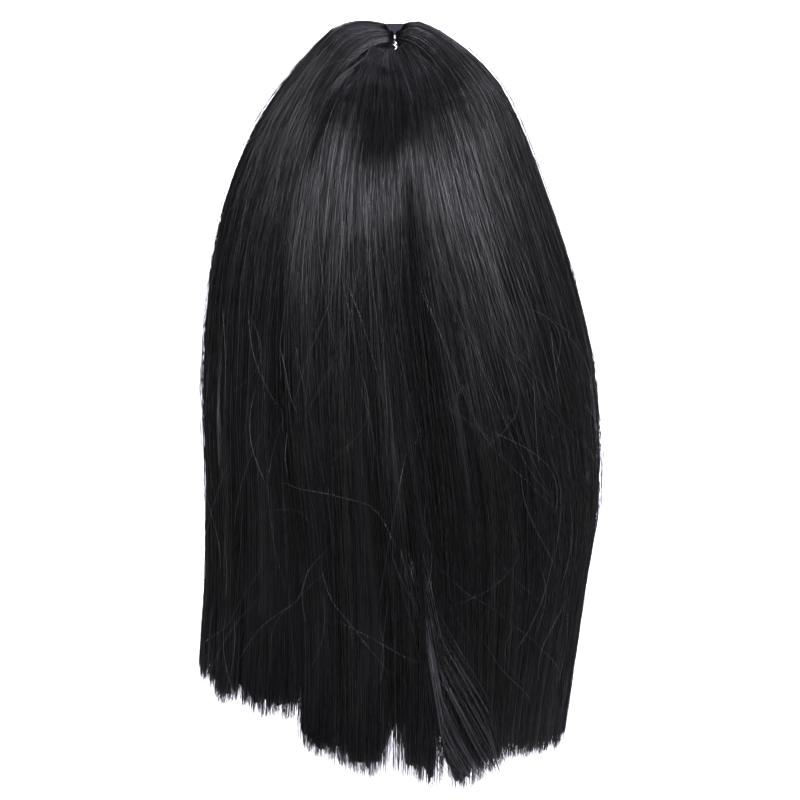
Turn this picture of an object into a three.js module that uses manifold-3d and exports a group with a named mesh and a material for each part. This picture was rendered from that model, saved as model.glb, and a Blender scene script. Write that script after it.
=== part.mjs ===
// Long straight wig: a thin stretch cap, a parting strip on its crown and three falls of hair.
// Each fall is one solid made of locks that lie side by side on a common backing.
// Millimetres. +X is the wearer's right, +Y is the way the face looks, +Z is up.
// The origin is the inside top of the cap, where the crown of the head meets it.
import * as THREE from "three";
import { mergeVertices } from "three/addons/utils/BufferGeometryUtils.js";
import Module from "manifold-3d";

const wasm = await Module();
wasm.setup();

// Head that the cap fits: half sizes of the skull, and the rise from its widest level to the crown.
const HEAD = { halfWidth: 76, halfDepth: 97, rise: 105 };
const CAP_WALL = 2;
const SEAT_GAP = 0.35;
const RIM_CLEARANCE = 2;
const FALL_GAP = 0.4;

// Edge of the cap round the head. angle: from the nape, in degrees.
// reach: how far the edge lies down the skull from its crown, in degrees of its curve.
const CAP_EDGE = [
  { angle: 0, reach: 120 },
  { angle: 45, reach: 114 },
  { angle: 75, reach: 104 },
  { angle: 95, reach: 101 },
  { angle: 115, reach: 103 },
  { angle: 140, reach: 74 },
  { angle: 180, reach: 60 },
];
const CAP_COLUMNS = 40;
const CAP_RINGS = 8;
const NAPE_TAPER = 0.1;
const WIDEST_LEVEL_DEG = 90;

// Bare parting: a slit between the falls, which the parting strip fills.
const PARTING = { halfWidth: 5, back: 24, front: 95, stripWall: 1, stripShare: 0.82, stripSteps: 14 };

// Outer form of the hair as level sections, from the parting down to the hem.
// height: of the section. left, right, back, front: its reach from the crown's axis.
// inset: the share of the reach taken up by hair. sink: how much lower the inner face lies.
// onHead: how far the section follows the slope of the parting. groove: depth between two locks.
const SECTIONS = [
  { height: 4, left: 5, right: 5, back: 24, front: 95, inset: 0, sink: 12, onHead: 1, groove: 0 },
  { height: 8.5, left: 13, right: 10, back: 31, front: 97, inset: 0, sink: 17, onHead: 1, groove: 0.6 },
  { height: 11, left: 30, right: 21, back: 43, front: 100, inset: 0, sink: 24, onHead: 1, groove: 1.2 },
  { height: 5, left: 48, right: 38, back: 60, front: 103, inset: 0.13, sink: 28, onHead: 0.97, groove: 1.8 },
  { height: -11, left: 64, right: 57, back: 80, front: 107, inset: 0.2, sink: 26, onHead: 0.92, groove: 2.2 },
  { height: -35, left: 84, right: 79, back: 101, front: 109, inset: 0.25, sink: 20, onHead: 0.82, groove: 2.6 },
  { height: -66, left: 105, right: 96, back: 118, front: 111, inset: 0.31, sink: 10, onHead: 0.66, groove: 3 },
  { height: -116, left: 127, right: 115, back: 134, front: 113, inset: 0.38, sink: 0, onHead: 0.44, groove: 3.4 },
  { height: -181, left: 142, right: 137, back: 145, front: 114, inset: 0.33, sink: 0, onHead: 0.22, groove: 3.8 },
  { height: -266, left: 149, right: 157, back: 151, front: 113, inset: 0.24, sink: 0, onHead: 0.06, groove: 4.2 },
  { height: -351, left: 148, right: 161, back: 151, front: 111, inset: 0.19, sink: 0, onHead: 0, groove: 4.8 },
  { height: -441, left: 150, right: 148, back: 147, front: 108, inset: 0.135, sink: 0, onHead: 0, groove: 5.4 },
  { height: -526, left: 157, right: 139, back: 139, front: 105, inset: 0.06, sink: 0, onHead: 0, groove: 4 },
];
const HEM_HEIGHT = -526;
const TRIM_FROM = -200;

// Locks of each fall, in order from the left. crown, hem: angle from the back where the lock's
// left edge leaves the parting and where it ends, in degrees. tip: height of its point.
// notch: how far the gap at its left edge climbs above the tip.
const FALLS = {
  hair_left: {
    locks: [
      { crown: -152, hem: -156, tip: -506, notch: 8 },
      { crown: -138, hem: -143, tip: -513, notch: 14 },
      { crown: -124, hem: -130, tip: -508, notch: 12 },
      { crown: -111, hem: -116, tip: -502, notch: 16 },
      { crown: -98, hem: -101, tip: -494, notch: 12 },
      { crown: -85, hem: -87, tip: -493, notch: 14 },
      { crown: -71, hem: -71, tip: -499, notch: 11 },
      { crown: -55, hem: -51, tip: -495, notch: 7 },
    ],
    end: { crown: -39, hem: -28, notch: 6 },
  },
  hair_back: {
    locks: [
      { crown: -39, hem: -28, tip: -518, notch: 8 },
      { crown: -24, hem: -16, tip: -525, notch: 7 },
      { crown: -9, hem: -2, tip: -531, notch: 22 },
      { crown: 3, hem: 16, tip: -540, notch: 18 },
      { crown: 9, hem: 28, tip: -532, notch: 12 },
      { crown: 18, hem: 40, tip: -533, notch: 8 },
    ],
    end: { crown: 33, hem: 53, notch: 6 },
  },
  hair_right: {
    locks: [
      { crown: 33, hem: 53, tip: -538, notch: 6 },
      { crown: 48, hem: 64, tip: -545, notch: 9 },
      { crown: 63, hem: 76, tip: -542, notch: 10 },
      { crown: 78, hem: 88, tip: -535, notch: 14 },
      { crown: 92, hem: 100, tip: -527, notch: 12 },
      { crown: 107, hem: 114, tip: -521, notch: 14 },
      { crown: 122, hem: 128, tip: -515, notch: 12 },
      { crown: 137, hem: 142, tip: -508, notch: 12 },
    ],
    end: { crown: 152, hem: 156, notch: 8 },
  },
};
const COLUMNS_PER_LOCK = 4;
const FRONT_THIN_FROM_DEG = 112;
const FRONT_THIN_SHARE = 0.45;

const HAIR = { color: 0x17171a, roughness: 0.42, metalness: 0 };
const NET = { color: 0x1b1b1d, roughness: 0.9, metalness: 0 };
const SKIN_TOP = { color: 0x4a4b55, roughness: 0.75, metalness: 0 };

const rad = THREE.MathUtils.degToRad;
const lerp = THREE.MathUtils.lerp;
const smoothstep = THREE.MathUtils.smoothstep;

// Value of a column between the two rows that hold x, eased so that the curve has no corners there.
function fromTable(rows, key, column, x) {
  const last = rows.length - 1;
  let i = 0;
  while (i < last - 1 && x > rows[i + 1][key]) i += 1;
  const share = smoothstep(x, rows[i][key], rows[i + 1][key]);
  return lerp(rows[i][column], rows[i + 1][column], share);
}

// A closed body from vertices and triangles, as a manifold solid.
function solidFrom(points, triangles) {
  const geometry = new THREE.BufferGeometry().setFromPoints(points).setIndex(triangles);
  const merged = mergeVertices(geometry, 1e-4);
  const mesh = new wasm.Mesh({
    numProp: 3,
    vertProperties: merged.attributes.position.array,
    triVerts: new Uint32Array(merged.index.array),
  });
  return new wasm.Manifold(mesh);
}

// The largest body of a manifold solid, as a three.js geometry.
function geometryFrom(solid) {
  const bodies = solid.decompose().sort((a, b) => b.volume() - a.volume());
  const mesh = bodies[0].getMesh();
  const geometry = new THREE.BufferGeometry();
  geometry.setAttribute("position", new THREE.BufferAttribute(mesh.vertProperties, 3));
  geometry.setIndex(new THREE.BufferAttribute(mesh.triVerts, 1));
  return geometry;
}

// A wall between an outer and an inner grid of points, closed along its four edges.
// The grids are lists of columns, and each column runs from the root of the wall to its hem.
function wallBetween(outer, inner) {
  const columns = outer.length;
  const rows = outer[0].length;
  const count = columns * rows;
  const at = (layer, column, row) => layer * count + column * rows + row;
  const triangles = [];
  const quad = (a, b, c, d) => triangles.push(a, b, c, a, c, d);
  for (let c = 0; c < columns - 1; c += 1) {
    for (let r = 0; r < rows - 1; r += 1) {
      quad(at(0, c, r), at(0, c, r + 1), at(0, c + 1, r + 1), at(0, c + 1, r));
      quad(at(1, c, r), at(1, c + 1, r), at(1, c + 1, r + 1), at(1, c, r + 1));
    }
    quad(at(0, c, 0), at(0, c + 1, 0), at(1, c + 1, 0), at(1, c, 0));
    quad(at(0, c, rows - 1), at(1, c, rows - 1), at(1, c + 1, rows - 1), at(0, c + 1, rows - 1));
  }
  for (let r = 0; r < rows - 1; r += 1) {
    quad(at(0, 0, r), at(1, 0, r), at(1, 0, r + 1), at(0, 0, r + 1));
    const end = columns - 1;
    quad(at(0, end, r), at(0, end, r + 1), at(1, end, r + 1), at(1, end, r));
  }
  return solidFrom([...outer.flat(), ...inner.flat()], triangles);
}

// Point on the cap's surface, grown outwards from the skull. reach is the angle down its curve.
function capPoint(angle, reach, grow) {
  const down = Math.max(0, reach - rad(WIDEST_LEVEL_DEG));
  const onDome = Math.min(reach, rad(WIDEST_LEVEL_DEG));
  const taper = 1 - NAPE_TAPER * (down / rad(CAP_EDGE[0].reach - WIDEST_LEVEL_DEG)) ** 2;
  const spread = Math.sin(onDome) * taper;
  return new THREE.Vector3(
    (HEAD.halfWidth + grow) * spread * Math.sin(angle),
    -(HEAD.halfDepth + grow) * spread * Math.cos(angle),
    -HEAD.rise + (HEAD.rise + grow) * (Math.cos(onDome) - down),
  );
}

function capEdgeReach(angle) {
  const fromNape = THREE.MathUtils.radToDeg(Math.abs(angle));
  return rad(fromTable(CAP_EDGE, "angle", "reach", fromNape));
}

// Height of the cap's outside on the parting, at a distance forward of the crown.
function capTopHeight(forward) {
  const share = THREE.MathUtils.clamp(forward / (HEAD.halfDepth + CAP_WALL), -1, 1);
  return -HEAD.rise + (HEAD.rise + CAP_WALL) * Math.sqrt(1 - share * share);
}

// Rings of points round the cap from its crown to its edge, grown by a set amount.
function capRings(grow) {
  const rings = [];
  for (let r = 1; r <= CAP_RINGS; r += 1) {
    const ring = [];
    for (let c = 0; c < CAP_COLUMNS; c += 1) {
      const angle = -Math.PI + (c / CAP_COLUMNS) * 2 * Math.PI;
      ring.push(capPoint(angle, (capEdgeReach(angle) * r) / CAP_RINGS, grow));
    }
    rings.push(ring);
  }
  return rings;
}

// Triangles of a dome: a fan at its crown, then bands of quads. first is its crown's index.
function domeTriangles(first, rings, facingOut) {
  const triangles = [];
  const push = (a, b, c) => triangles.push(...(facingOut ? [a, b, c] : [a, c, b]));
  const at = (r, c) => first + 1 + r * CAP_COLUMNS + (c % CAP_COLUMNS);
  for (let c = 0; c < CAP_COLUMNS; c += 1) {
    push(first, at(0, c), at(0, c + 1));
    for (let r = 0; r < rings - 1; r += 1) {
      push(at(r, c), at(r + 1, c), at(r + 1, c + 1));
      push(at(r, c), at(r + 1, c + 1), at(r, c + 1));
    }
  }
  return triangles;
}

// Thin dome with an open rim: the stretch net that the hair is sewn to.
function capSolid() {
  const outer = [capPoint(0, 0, CAP_WALL), ...capRings(CAP_WALL).flat()];
  const inner = [capPoint(0, 0, 0), ...capRings(0).flat()];
  const triangles = [
    ...domeTriangles(0, CAP_RINGS, true),
    ...domeTriangles(outer.length, CAP_RINGS, false),
  ];
  const rim = 1 + (CAP_RINGS - 1) * CAP_COLUMNS;
  for (let c = 0; c < CAP_COLUMNS; c += 1) {
    const next = (c + 1) % CAP_COLUMNS;
    const [a, b] = [rim + c, rim + next];
    triangles.push(a, outer.length + a, outer.length + b, a, outer.length + b, b);
  }
  return solidFrom([...outer, ...inner], triangles);
}

// The cap's outside filled in, grown by the seat gap: what the falls are cut back from.
function capBlank() {
  const grow = CAP_WALL + SEAT_GAP;
  const below = [];
  for (let c = 0; c < CAP_COLUMNS; c += 1) {
    const angle = -Math.PI + (c / CAP_COLUMNS) * 2 * Math.PI;
    below.push(capPoint(angle, capEdgeReach(angle) + RIM_CLEARANCE / HEAD.rise, grow));
  }
  const points = [capPoint(0, 0, grow), ...capRings(grow).flat(), ...below];
  const triangles = domeTriangles(0, CAP_RINGS + 1, true);
  const rim = 1 + CAP_RINGS * CAP_COLUMNS;
  const middle = points.length;
  points.push(new THREE.Vector3(0, 0, -HEAD.rise));
  for (let c = 0; c < CAP_COLUMNS; c += 1) {
    triangles.push(rim + c, middle, rim + ((c + 1) % CAP_COLUMNS));
  }
  return solidFrom(points, triangles);
}

// Thin strip along the bottom of the parting, narrowing to the whorl and to the hairline.
function partingStrip() {
  const top = [];
  const bottom = [];
  for (const side of [-1, 1]) {
    const topEdge = [];
    const bottomEdge = [];
    for (let i = 0; i <= PARTING.stripSteps; i += 1) {
      const turn = Math.PI * lerp(0.12, 0.84, i / PARTING.stripSteps);
      const reach = Math.cos(turn) > 0 ? PARTING.back : PARTING.front;
      const x = side * PARTING.halfWidth * PARTING.stripShare * Math.sin(turn) - side * SEAT_GAP;
      const y = -reach * Math.cos(turn);
      const z = capTopHeight(y);
      topEdge.push(new THREE.Vector3(x, y, z + SEAT_GAP + PARTING.stripWall));
      bottomEdge.push(new THREE.Vector3(x, y, z - CAP_WALL));
    }
    top.push(topEdge);
    bottom.push(bottomEdge);
  }
  return wallBetween(top.reverse(), bottom.reverse());
}

// Columns of a fall: the angles at crown and hem, the tip and the place across the lock, 0 to 1.
function fallColumns(fall) {
  const edges = [...fall.locks, fall.end];
  const columns = [];
  fall.locks.forEach((lock, i) => {
    const next = edges[i + 1];
    const steps = i === fall.locks.length - 1 ? COLUMNS_PER_LOCK : COLUMNS_PER_LOCK - 1;
    for (let c = 0; c <= steps; c += 1) {
      const across = c / COLUMNS_PER_LOCK;
      const fromMiddle = 2 * across - 1;
      const notch = fromMiddle < 0 ? lock.notch : next.notch;
      columns.push({
        crown: rad(lerp(lock.crown, next.crown, across)),
        hem: rad(lerp(lock.hem, next.hem, across)),
        tip: lock.tip + notch * fromMiddle ** 2,
        ridge: 1 - fromMiddle ** 2,
      });
    }
  });
  columns[0].gapSide = 1;
  columns[columns.length - 1].gapSide = -1;
  return columns;
}

// Outer point of a section in plan, at an angle from the back, drawn in by a share and by a depth.
function planPoint(section, angle, share, depth) {
  const side = angle < 0 ? section.left : section.right;
  const fore = Math.cos(angle) > 0 ? section.back : section.front;
  return new THREE.Vector2(
    (side * (1 - share) - depth) * Math.sin(angle),
    -(fore * (1 - share) - depth) * Math.cos(angle),
  );
}

// Outer and inner point of a column of hair on one section.
function hairPoints(column, section) {
  const trim = smoothstep(-section.height, -TRIM_FROM, -HEM_HEIGHT);
  const level = section.height * lerp(1, column.tip / HEM_HEIGHT, trim);
  const fallen = (SECTIONS[0].height - level) / (SECTIONS[0].height - HEM_HEIGHT);
  let angle = lerp(column.crown, column.hem, smoothstep(fallen, 0, 0.9));
  if (column.gapSide) {
    const step = 0.01;
    const speed = planPoint(section, angle + step, 0, 0).distanceTo(planPoint(section, angle, 0, 0)) / step;
    angle += (column.gapSide * FALL_GAP) / 2 / speed;
  }
  const root = planPoint(SECTIONS[0], angle, 0, 0);
  const height = level + (capTopHeight(root.y) - CAP_WALL) * section.onHead;
  const thin = lerp(1, FRONT_THIN_SHARE, smoothstep(Math.abs(angle), rad(FRONT_THIN_FROM_DEG), rad(156)));
  const outer = planPoint(section, angle, 0, section.groove * (1 - column.ridge));
  const inner = planPoint(section, angle, section.inset * thin, 0);
  return {
    outer: new THREE.Vector3(outer.x, outer.y, height),
    inner: new THREE.Vector3(inner.x, inner.y, height - section.sink * thin),
  };
}

// One fall of hair: its locks as one wall, seated on the cap.
function fallSolid(fall, seat) {
  const grid = fallColumns(fall).map((column) => SECTIONS.map((section) => hairPoints(column, section)));
  const layer = (name) => grid.map((column) => column.map((points) => points[name]));
  return wallBetween(layer("outer"), layer("inner")).subtract(seat);
}

function pieceFrom(name, solid, finish) {
  const piece = new THREE.Mesh(geometryFrom(solid), new THREE.MeshStandardMaterial(finish));
  piece.name = name;
  return piece;
}

const wig = new THREE.Group();
const seat = capBlank();
wig.add(pieceFrom("cap", capSolid(), NET));
wig.add(pieceFrom("parting_strip", partingStrip().subtract(seat), SKIN_TOP));
for (const [name, fall] of Object.entries(FALLS)) {
  wig.add(pieceFrom(name, fallSolid(fall, seat), HAIR));
}

export default wig;
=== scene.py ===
"""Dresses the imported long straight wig: fibres, cap net, parting cloth, stitches and studio."""

import logging
import math
from dataclasses import astuple, dataclass, fields
from enum import Enum

import bpy
import numpy as np
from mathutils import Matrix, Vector


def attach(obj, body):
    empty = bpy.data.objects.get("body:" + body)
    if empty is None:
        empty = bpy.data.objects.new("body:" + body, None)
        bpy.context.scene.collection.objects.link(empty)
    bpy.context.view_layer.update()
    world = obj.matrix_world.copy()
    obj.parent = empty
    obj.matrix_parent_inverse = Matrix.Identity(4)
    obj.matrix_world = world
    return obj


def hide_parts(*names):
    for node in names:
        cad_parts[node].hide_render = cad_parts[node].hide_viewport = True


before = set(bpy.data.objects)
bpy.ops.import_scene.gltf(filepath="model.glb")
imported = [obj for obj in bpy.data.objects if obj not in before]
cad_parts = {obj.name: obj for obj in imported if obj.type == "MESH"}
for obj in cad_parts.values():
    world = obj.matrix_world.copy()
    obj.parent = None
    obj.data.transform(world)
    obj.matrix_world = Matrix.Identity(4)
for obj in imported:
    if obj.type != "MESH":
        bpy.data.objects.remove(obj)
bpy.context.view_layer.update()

LOG = logging.getLogger("wig")
MM = 0.001
TINY = 1e-12
BODY = "root"
# Map that the strands' tones are laid out in, and how many columns of it they are sorted into.
BAKE_MAP = "OFBake"
TONE_STEPS = 64
TUBE_SIDES = 8
# Leans a little, so that no tube runs along it.
NEARLY_UP = (0.06, 0.04, 1.0)

Array = np.ndarray
Roots = tuple[tuple[float, ...], ...]


def linear(hex_colour: str) -> tuple[float, float, float, float]:
    """Turns an sRGB hex colour into linear values.

    Args:
        hex_colour: Colour such as "#1a1a1c".

    Returns:
        Linear red, green and blue, with an alpha of 1.
    """
    parts = [int(hex_colour[i : i + 2], 16) / 255 for i in (1, 3, 5)]
    low = [c / 12.92 if c <= 0.04045 else ((c + 0.055) / 1.055) ** 2.4 for c in parts]
    return (low[0], low[1], low[2], 1.0)


def smoothstep(x: Array | float, low: float, high: float) -> Array:
    """Eases from 0 at low to 1 at high.

    Args:
        x: Values to ease.
        low: Where the step starts.
        high: Where the step ends.

    Returns:
        Values from 0 to 1.
    """
    t = np.clip((np.asarray(x, float) - low) / (high - low), 0, 1)
    return t * t * (3 - 2 * t)


def spline(table: Array, place: Array) -> Array:
    """Reads a table between its rows, on a smooth curve through them.

    Args:
        table: Rows of numbers.
        place: Row numbers, with fractions.

    Returns:
        A row of numbers for each place.
    """
    last = len(table) - 1
    i = np.clip(np.floor(place).astype(int), 0, last - 1)
    f = (place - i)[..., None]
    a, b = table[np.maximum(i - 1, 0)], table[i]
    c, d = table[i + 1], table[np.minimum(i + 2, last)]
    return b + 0.5 * f * (c - a + f * (2 * a - 5 * b + 4 * c - d + f * (3 * (b - c) + d - a)))


def add_node(
    tree: bpy.types.NodeTree,
    kind: str,
    inputs: dict[str | int, object] | None = None,
    **settings: object,
) -> bpy.types.Node:
    """Adds a node to a material's tree.

    Args:
        tree: Tree that the node goes into.
        kind: Blender's name for the node.
        inputs: Value of each input socket, or the output socket that feeds it.
        **settings: Properties of the node itself.

    Returns:
        The new node.
    """
    node = tree.nodes.new(kind)
    for name, value in settings.items():
        setattr(node, name, value)
    for name, value in (inputs or {}).items():
        if isinstance(value, bpy.types.NodeSocket):
            tree.links.new(value, node.inputs[name])
        else:
            node.inputs[name].default_value = value
    return node


def new_material(name: str) -> tuple[bpy.types.Material, bpy.types.NodeTree]:
    """Makes an empty node material.

    Args:
        name: Name of the finish.

    Returns:
        The material and its empty tree.
    """
    material = bpy.data.materials.new(name)
    material.use_nodes = True
    material.node_tree.nodes.clear()
    return material, material.node_tree


def set_ramp(node: bpy.types.Node, stops: list[tuple[float, str]]) -> None:
    """Sets the stops of a colour ramp.

    Args:
        node: Colour ramp node.
        stops: Place and sRGB colour of each stop, in order.
    """
    ramp = node.color_ramp
    while len(ramp.elements) < len(stops):
        ramp.elements.new(0.5)
    for element, (place, colour) in zip(ramp.elements, stops):
        element.position = place
        element.color = linear(colour)


@dataclass(frozen=True)
class ModacrylicFibre:
    """Drawn modacrylic fibre, combed straight.

    It gives the eye a near black with a soft cool shine that runs across the locks in bands,
    and a few fibres that look brown against the light.
    """

    name: str = "modacrylic_fibre_black"
    jet: str = "#070707"
    soft_black: str = "#090909"
    charcoal: str = "#0d0d0d"
    # The brown of a few fibres is painted light: it stands in for light that shines through them.
    brown_black: str = "#110e0c"
    ior: float = 1.5
    # Fibres shade one another far more finely than the drawn strands do, so the shine of a bare
    # fibre is cut to what is left of it in a lock.
    shine: float = 0.12
    roughness_low: float = 0.2
    roughness_high: float = 0.32
    # The colour grows paler from this share of the length on, towards the ends.
    paler_from: float = 0.7
    paler_gain: float = 1.35

    def material(self) -> bpy.types.Material:
        """Builds the fibre's material from each strand's tone and the place along it.

        Returns:
            The material.
        """
        material, tree = new_material(self.name)
        tone = add_node(tree, "ShaderNodeAttribute", attribute_name="tone")
        along = add_node(tree, "ShaderNodeAttribute", attribute_name="along")
        ramp = add_node(tree, "ShaderNodeValToRGB", {0: tone.outputs["Fac"]})
        set_ramp(
            ramp,
            [
                (0.0, self.jet),
                (0.45, self.soft_black),
                (0.85, self.charcoal),
                (0.93, self.brown_black),
            ],
        )
        paler_ends = add_node(
            tree,
            "ShaderNodeMapRange",
            {
                "Value": along.outputs["Fac"],
                "From Min": self.paler_from,
                "To Min": 1.0,
                "To Max": self.paler_gain,
            },
        )
        colour = add_node(
            tree,
            "ShaderNodeVectorMath",
            {0: ramp.outputs["Color"], "Scale": paler_ends.outputs[0]},
            operation="SCALE",
        )
        rough = add_node(
            tree,
            "ShaderNodeMapRange",
            {
                "Value": tone.outputs["Fac"],
                "To Min": self.roughness_low,
                "To Max": self.roughness_high,
            },
        )
        shader = add_node(
            tree,
            "ShaderNodeBsdfPrincipled",
            {
                "Base Color": colour.outputs[0],
                "Roughness": rough.outputs[0],
                "IOR": self.ior,
                "Specular IOR Level": self.shine,
            },
        )
        add_node(tree, "ShaderNodeOutputMaterial", {"Surface": shader.outputs[0]})
        return material


# A loose hair has few neighbours to shade it, so it keeps more of its shine.
LOOSE_FIBRE = ModacrylicFibre("modacrylic_fibre_loose", shine=0.35)
# Light shines through a fibre that lies alone, so it looks lighter than those in a lock.
SINGLE_FIBRE = ModacrylicFibre(
    "modacrylic_fibre_single", "#242426", "#2c2b2f", "#343337", "#332d29", shine=0.3
)


class Lustre(Enum):
    """How much a fibre shines. Fibres of several grades are blended so that hair looks alive."""

    DULL = ("dull", 0.05)
    SEMI_DULL = ("semi_dull", 0.11)
    BRIGHT = ("bright", 0.27)

    @property
    def shine(self) -> float:
        """Share of the bare fibre's shine."""
        return self.value[1]

    def material(self) -> bpy.types.Material:
        """Builds the finish of this grade."""
        name = f"modacrylic_fibre_black_{self.value[0]}"
        return ModacrylicFibre(name, shine=self.shine).material()


# Grades that strands take in turn of their tones.
BLEND = (Lustre.DULL, Lustre.SEMI_DULL, Lustre.BRIGHT, Lustre.SEMI_DULL, Lustre.DULL)


@dataclass(frozen=True)
class CombedFibre:
    """The mass of the same fibre below the strands.

    It gives the eye the same near black, with fine dark lines where fibres lie side by side.
    """

    fibre: ModacrylicFibre = ModacrylicFibre(shine=Lustre.DULL.shine)
    name: str = "modacrylic_fibre_combed"
    # Fibres of 0.08 mm are drawn as lines of tufts about 1 mm wide so that they show.
    line_mm: float = 1.0
    line_depth_mm: float = 0.5

    def material(self) -> bpy.types.Material:
        """Builds the material from the place across and along the fall.

        Returns:
            The material.
        """
        material, tree = new_material(self.name)
        across = add_node(tree, "ShaderNodeAttribute", attribute_name="across")
        along = add_node(tree, "ShaderNodeAttribute", attribute_name="along")
        place = add_node(
            tree, "ShaderNodeCombineXYZ", {"X": across.outputs["Fac"], "Y": along.outputs["Fac"]}
        )
        lines = add_node(
            tree,
            "ShaderNodeTexNoise",
            {"Vector": place.outputs[0], "Scale": 1 / self.line_mm, "Detail": 3.0},
        )
        ramp = add_node(tree, "ShaderNodeValToRGB", {0: lines.outputs["Fac"]})
        set_ramp(ramp, [(0.3, self.fibre.jet), (0.7, self.fibre.soft_black)])
        rough = add_node(
            tree,
            "ShaderNodeMapRange",
            {
                "Value": lines.outputs["Fac"],
                "To Min": self.fibre.roughness_low,
                "To Max": self.fibre.roughness_high,
            },
        )
        bump = add_node(
            tree,
            "ShaderNodeBump",
            {
                "Strength": 0.8,
                "Distance": self.line_depth_mm * MM,
                "Height": lines.outputs["Fac"],
            },
        )
        shader = add_node(
            tree,
            "ShaderNodeBsdfPrincipled",
            {
                "Base Color": ramp.outputs["Color"],
                "Roughness": rough.outputs[0],
                "IOR": self.fibre.ior,
                "Specular IOR Level": self.fibre.shine,
                "Normal": bump.outputs[0],
            },
        )
        add_node(tree, "ShaderNodeOutputMaterial", {"Surface": shader.outputs[0]})
        return material


@dataclass(frozen=True)
class StretchNet:
    """Warp-knitted nylon net with an elastic thread.

    It gives the eye a matt black cloth with small open cells and a faint sheen on the yarn.
    """

    name: str = "stretch_net_black"
    yarn: str = "#1a1a1c"
    cell: str = "#070708"
    # A real cell is about 1 mm across. It is drawn at twice that so that it shows.
    cell_mm: float = 2.0
    yarn_mm: float = 0.4
    roughness: float = 0.82

    def material(self) -> bpy.types.Material:
        """Builds the net's material.

        Returns:
            The material.
        """
        material, tree = new_material(self.name)
        place = add_node(tree, "ShaderNodeTexCoord")
        cells = add_node(
            tree,
            "ShaderNodeTexVoronoi",
            {
                "Vector": place.outputs["Object"],
                "Scale": 1 / (self.cell_mm * MM),
                "Randomness": 0.35,
            },
            feature="DISTANCE_TO_EDGE",
        )
        ramp = add_node(tree, "ShaderNodeValToRGB", {0: cells.outputs["Distance"]})
        set_ramp(ramp, [(0.05, self.yarn), (0.16, self.cell)])
        bump = add_node(
            tree,
            "ShaderNodeBump",
            {
                "Strength": 0.6,
                "Distance": self.yarn_mm * MM,
                "Height": ramp.outputs["Color"],
            },
        )
        shader = add_node(
            tree,
            "ShaderNodeBsdfPrincipled",
            {
                "Base Color": ramp.outputs["Color"],
                "Roughness": self.roughness,
                "Sheen Weight": 0.15,
                "Normal": bump.outputs[0],
            },
        )
        add_node(tree, "ShaderNodeOutputMaterial", {"Surface": shader.outputs[0]})
        return material


# Knitted tape, closer than the net. It gives the eye a matt black edge.
BINDING_TAPE = StretchNet("binding_tape_black", "#121214", "#0a0a0b", cell_mm=1.2)


@dataclass(frozen=True)
class PartingCloth:
    """Fine polyester cloth coated to look like a scalp, dyed grey.

    It gives the eye a matt blue-grey strip with a tight weave.
    """

    name: str = "coated_polyester_grey"
    light: str = "#19191f"
    dark: str = "#0d0d11"
    # A thread is about 0.15 mm. It is drawn four times as wide so that it shows.
    thread_mm: float = 0.6
    thread_depth_mm: float = 0.15
    roughness: float = 0.7

    def material(self) -> bpy.types.Material:
        """Builds the cloth's material.

        Returns:
            The material.
        """
        material, tree = new_material(self.name)
        place = add_node(tree, "ShaderNodeTexCoord")
        weave = add_node(
            tree,
            "ShaderNodeTexNoise",
            {
                "Vector": place.outputs["Object"],
                "Scale": 1 / (self.thread_mm * MM),
                "Detail": 3.0,
            },
        )
        ramp = add_node(tree, "ShaderNodeValToRGB", {0: weave.outputs["Fac"]})
        set_ramp(ramp, [(0.35, self.dark), (0.65, self.light)])
        bump = add_node(
            tree,
            "ShaderNodeBump",
            {
                "Strength": 0.4,
                "Distance": self.thread_depth_mm * MM,
                "Height": weave.outputs["Fac"],
            },
        )
        shader = add_node(
            tree,
            "ShaderNodeBsdfPrincipled",
            {
                "Base Color": ramp.outputs["Color"],
                "Roughness": self.roughness,
                "Specular IOR Level": 0.05,
                "Normal": bump.outputs[0],
            },
        )
        add_node(tree, "ShaderNodeOutputMaterial", {"Surface": shader.outputs[0]})
        return material


@dataclass(frozen=True)
class SpunThread:
    """Spun polyester sewing thread, white.

    It gives the eye a bright matt line with the twist of its plies.
    """

    name: str = "spun_polyester_thread_white"
    light: str = "#f2f2f4"
    dark: str = "#b9bac2"
    # Plies of a real thread show about every 0.4 mm. They are drawn wider so that they show.
    ply_mm: float = 0.9

    def material(self) -> bpy.types.Material:
        """Builds the thread's material.

        Returns:
            The material.
        """
        material, tree = new_material(self.name)
        place = add_node(tree, "ShaderNodeTexCoord")
        plies = add_node(
            tree,
            "ShaderNodeTexWave",
            {
                "Vector": place.outputs["Object"],
                "Scale": 0.5 / (self.ply_mm * MM),
                "Distortion": 1.0,
            },
            bands_direction="DIAGONAL",
        )
        ramp = add_node(tree, "ShaderNodeValToRGB", {0: plies.outputs["Fac"]})
        set_ramp(ramp, [(0.1, self.dark), (0.5, self.light)])
        shader = add_node(
            tree,
            "ShaderNodeBsdfPrincipled",
            {"Base Color": ramp.outputs["Color"], "Roughness": 0.6},
        )
        add_node(tree, "ShaderNodeOutputMaterial", {"Surface": shader.outputs[0]})
        return material


@dataclass(frozen=True)
class StudioPaper:
    """Matt white background paper. It gives the eye an even pale ground."""

    name: str = "background_paper_white"
    colour: str = "#f4f4f4"

    def material(self) -> bpy.types.Material:
        """Builds the paper's material.

        Returns:
            The material.
        """
        material, tree = new_material(self.name)
        shader = add_node(
            tree,
            "ShaderNodeBsdfPrincipled",
            {"Base Color": linear(self.colour), "Roughness": 0.9, "Specular IOR Level": 0.1},
        )
        add_node(tree, "ShaderNodeOutputMaterial", {"Surface": shader.outputs[0]})
        return material


@dataclass(frozen=True)
class Section:
    """One level section of the hair's outer form, in millimetres.

    The reaches run from the crown's axis. inset is the share of the reach that hair takes up,
    sink is how much lower the inner face lies, on_head is how far the section follows the slope
    of the parting, and groove is the depth between two locks.
    """

    height: float
    left: float
    right: float
    back: float
    front: float
    inset: float
    sink: float
    on_head: float
    groove: float


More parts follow.
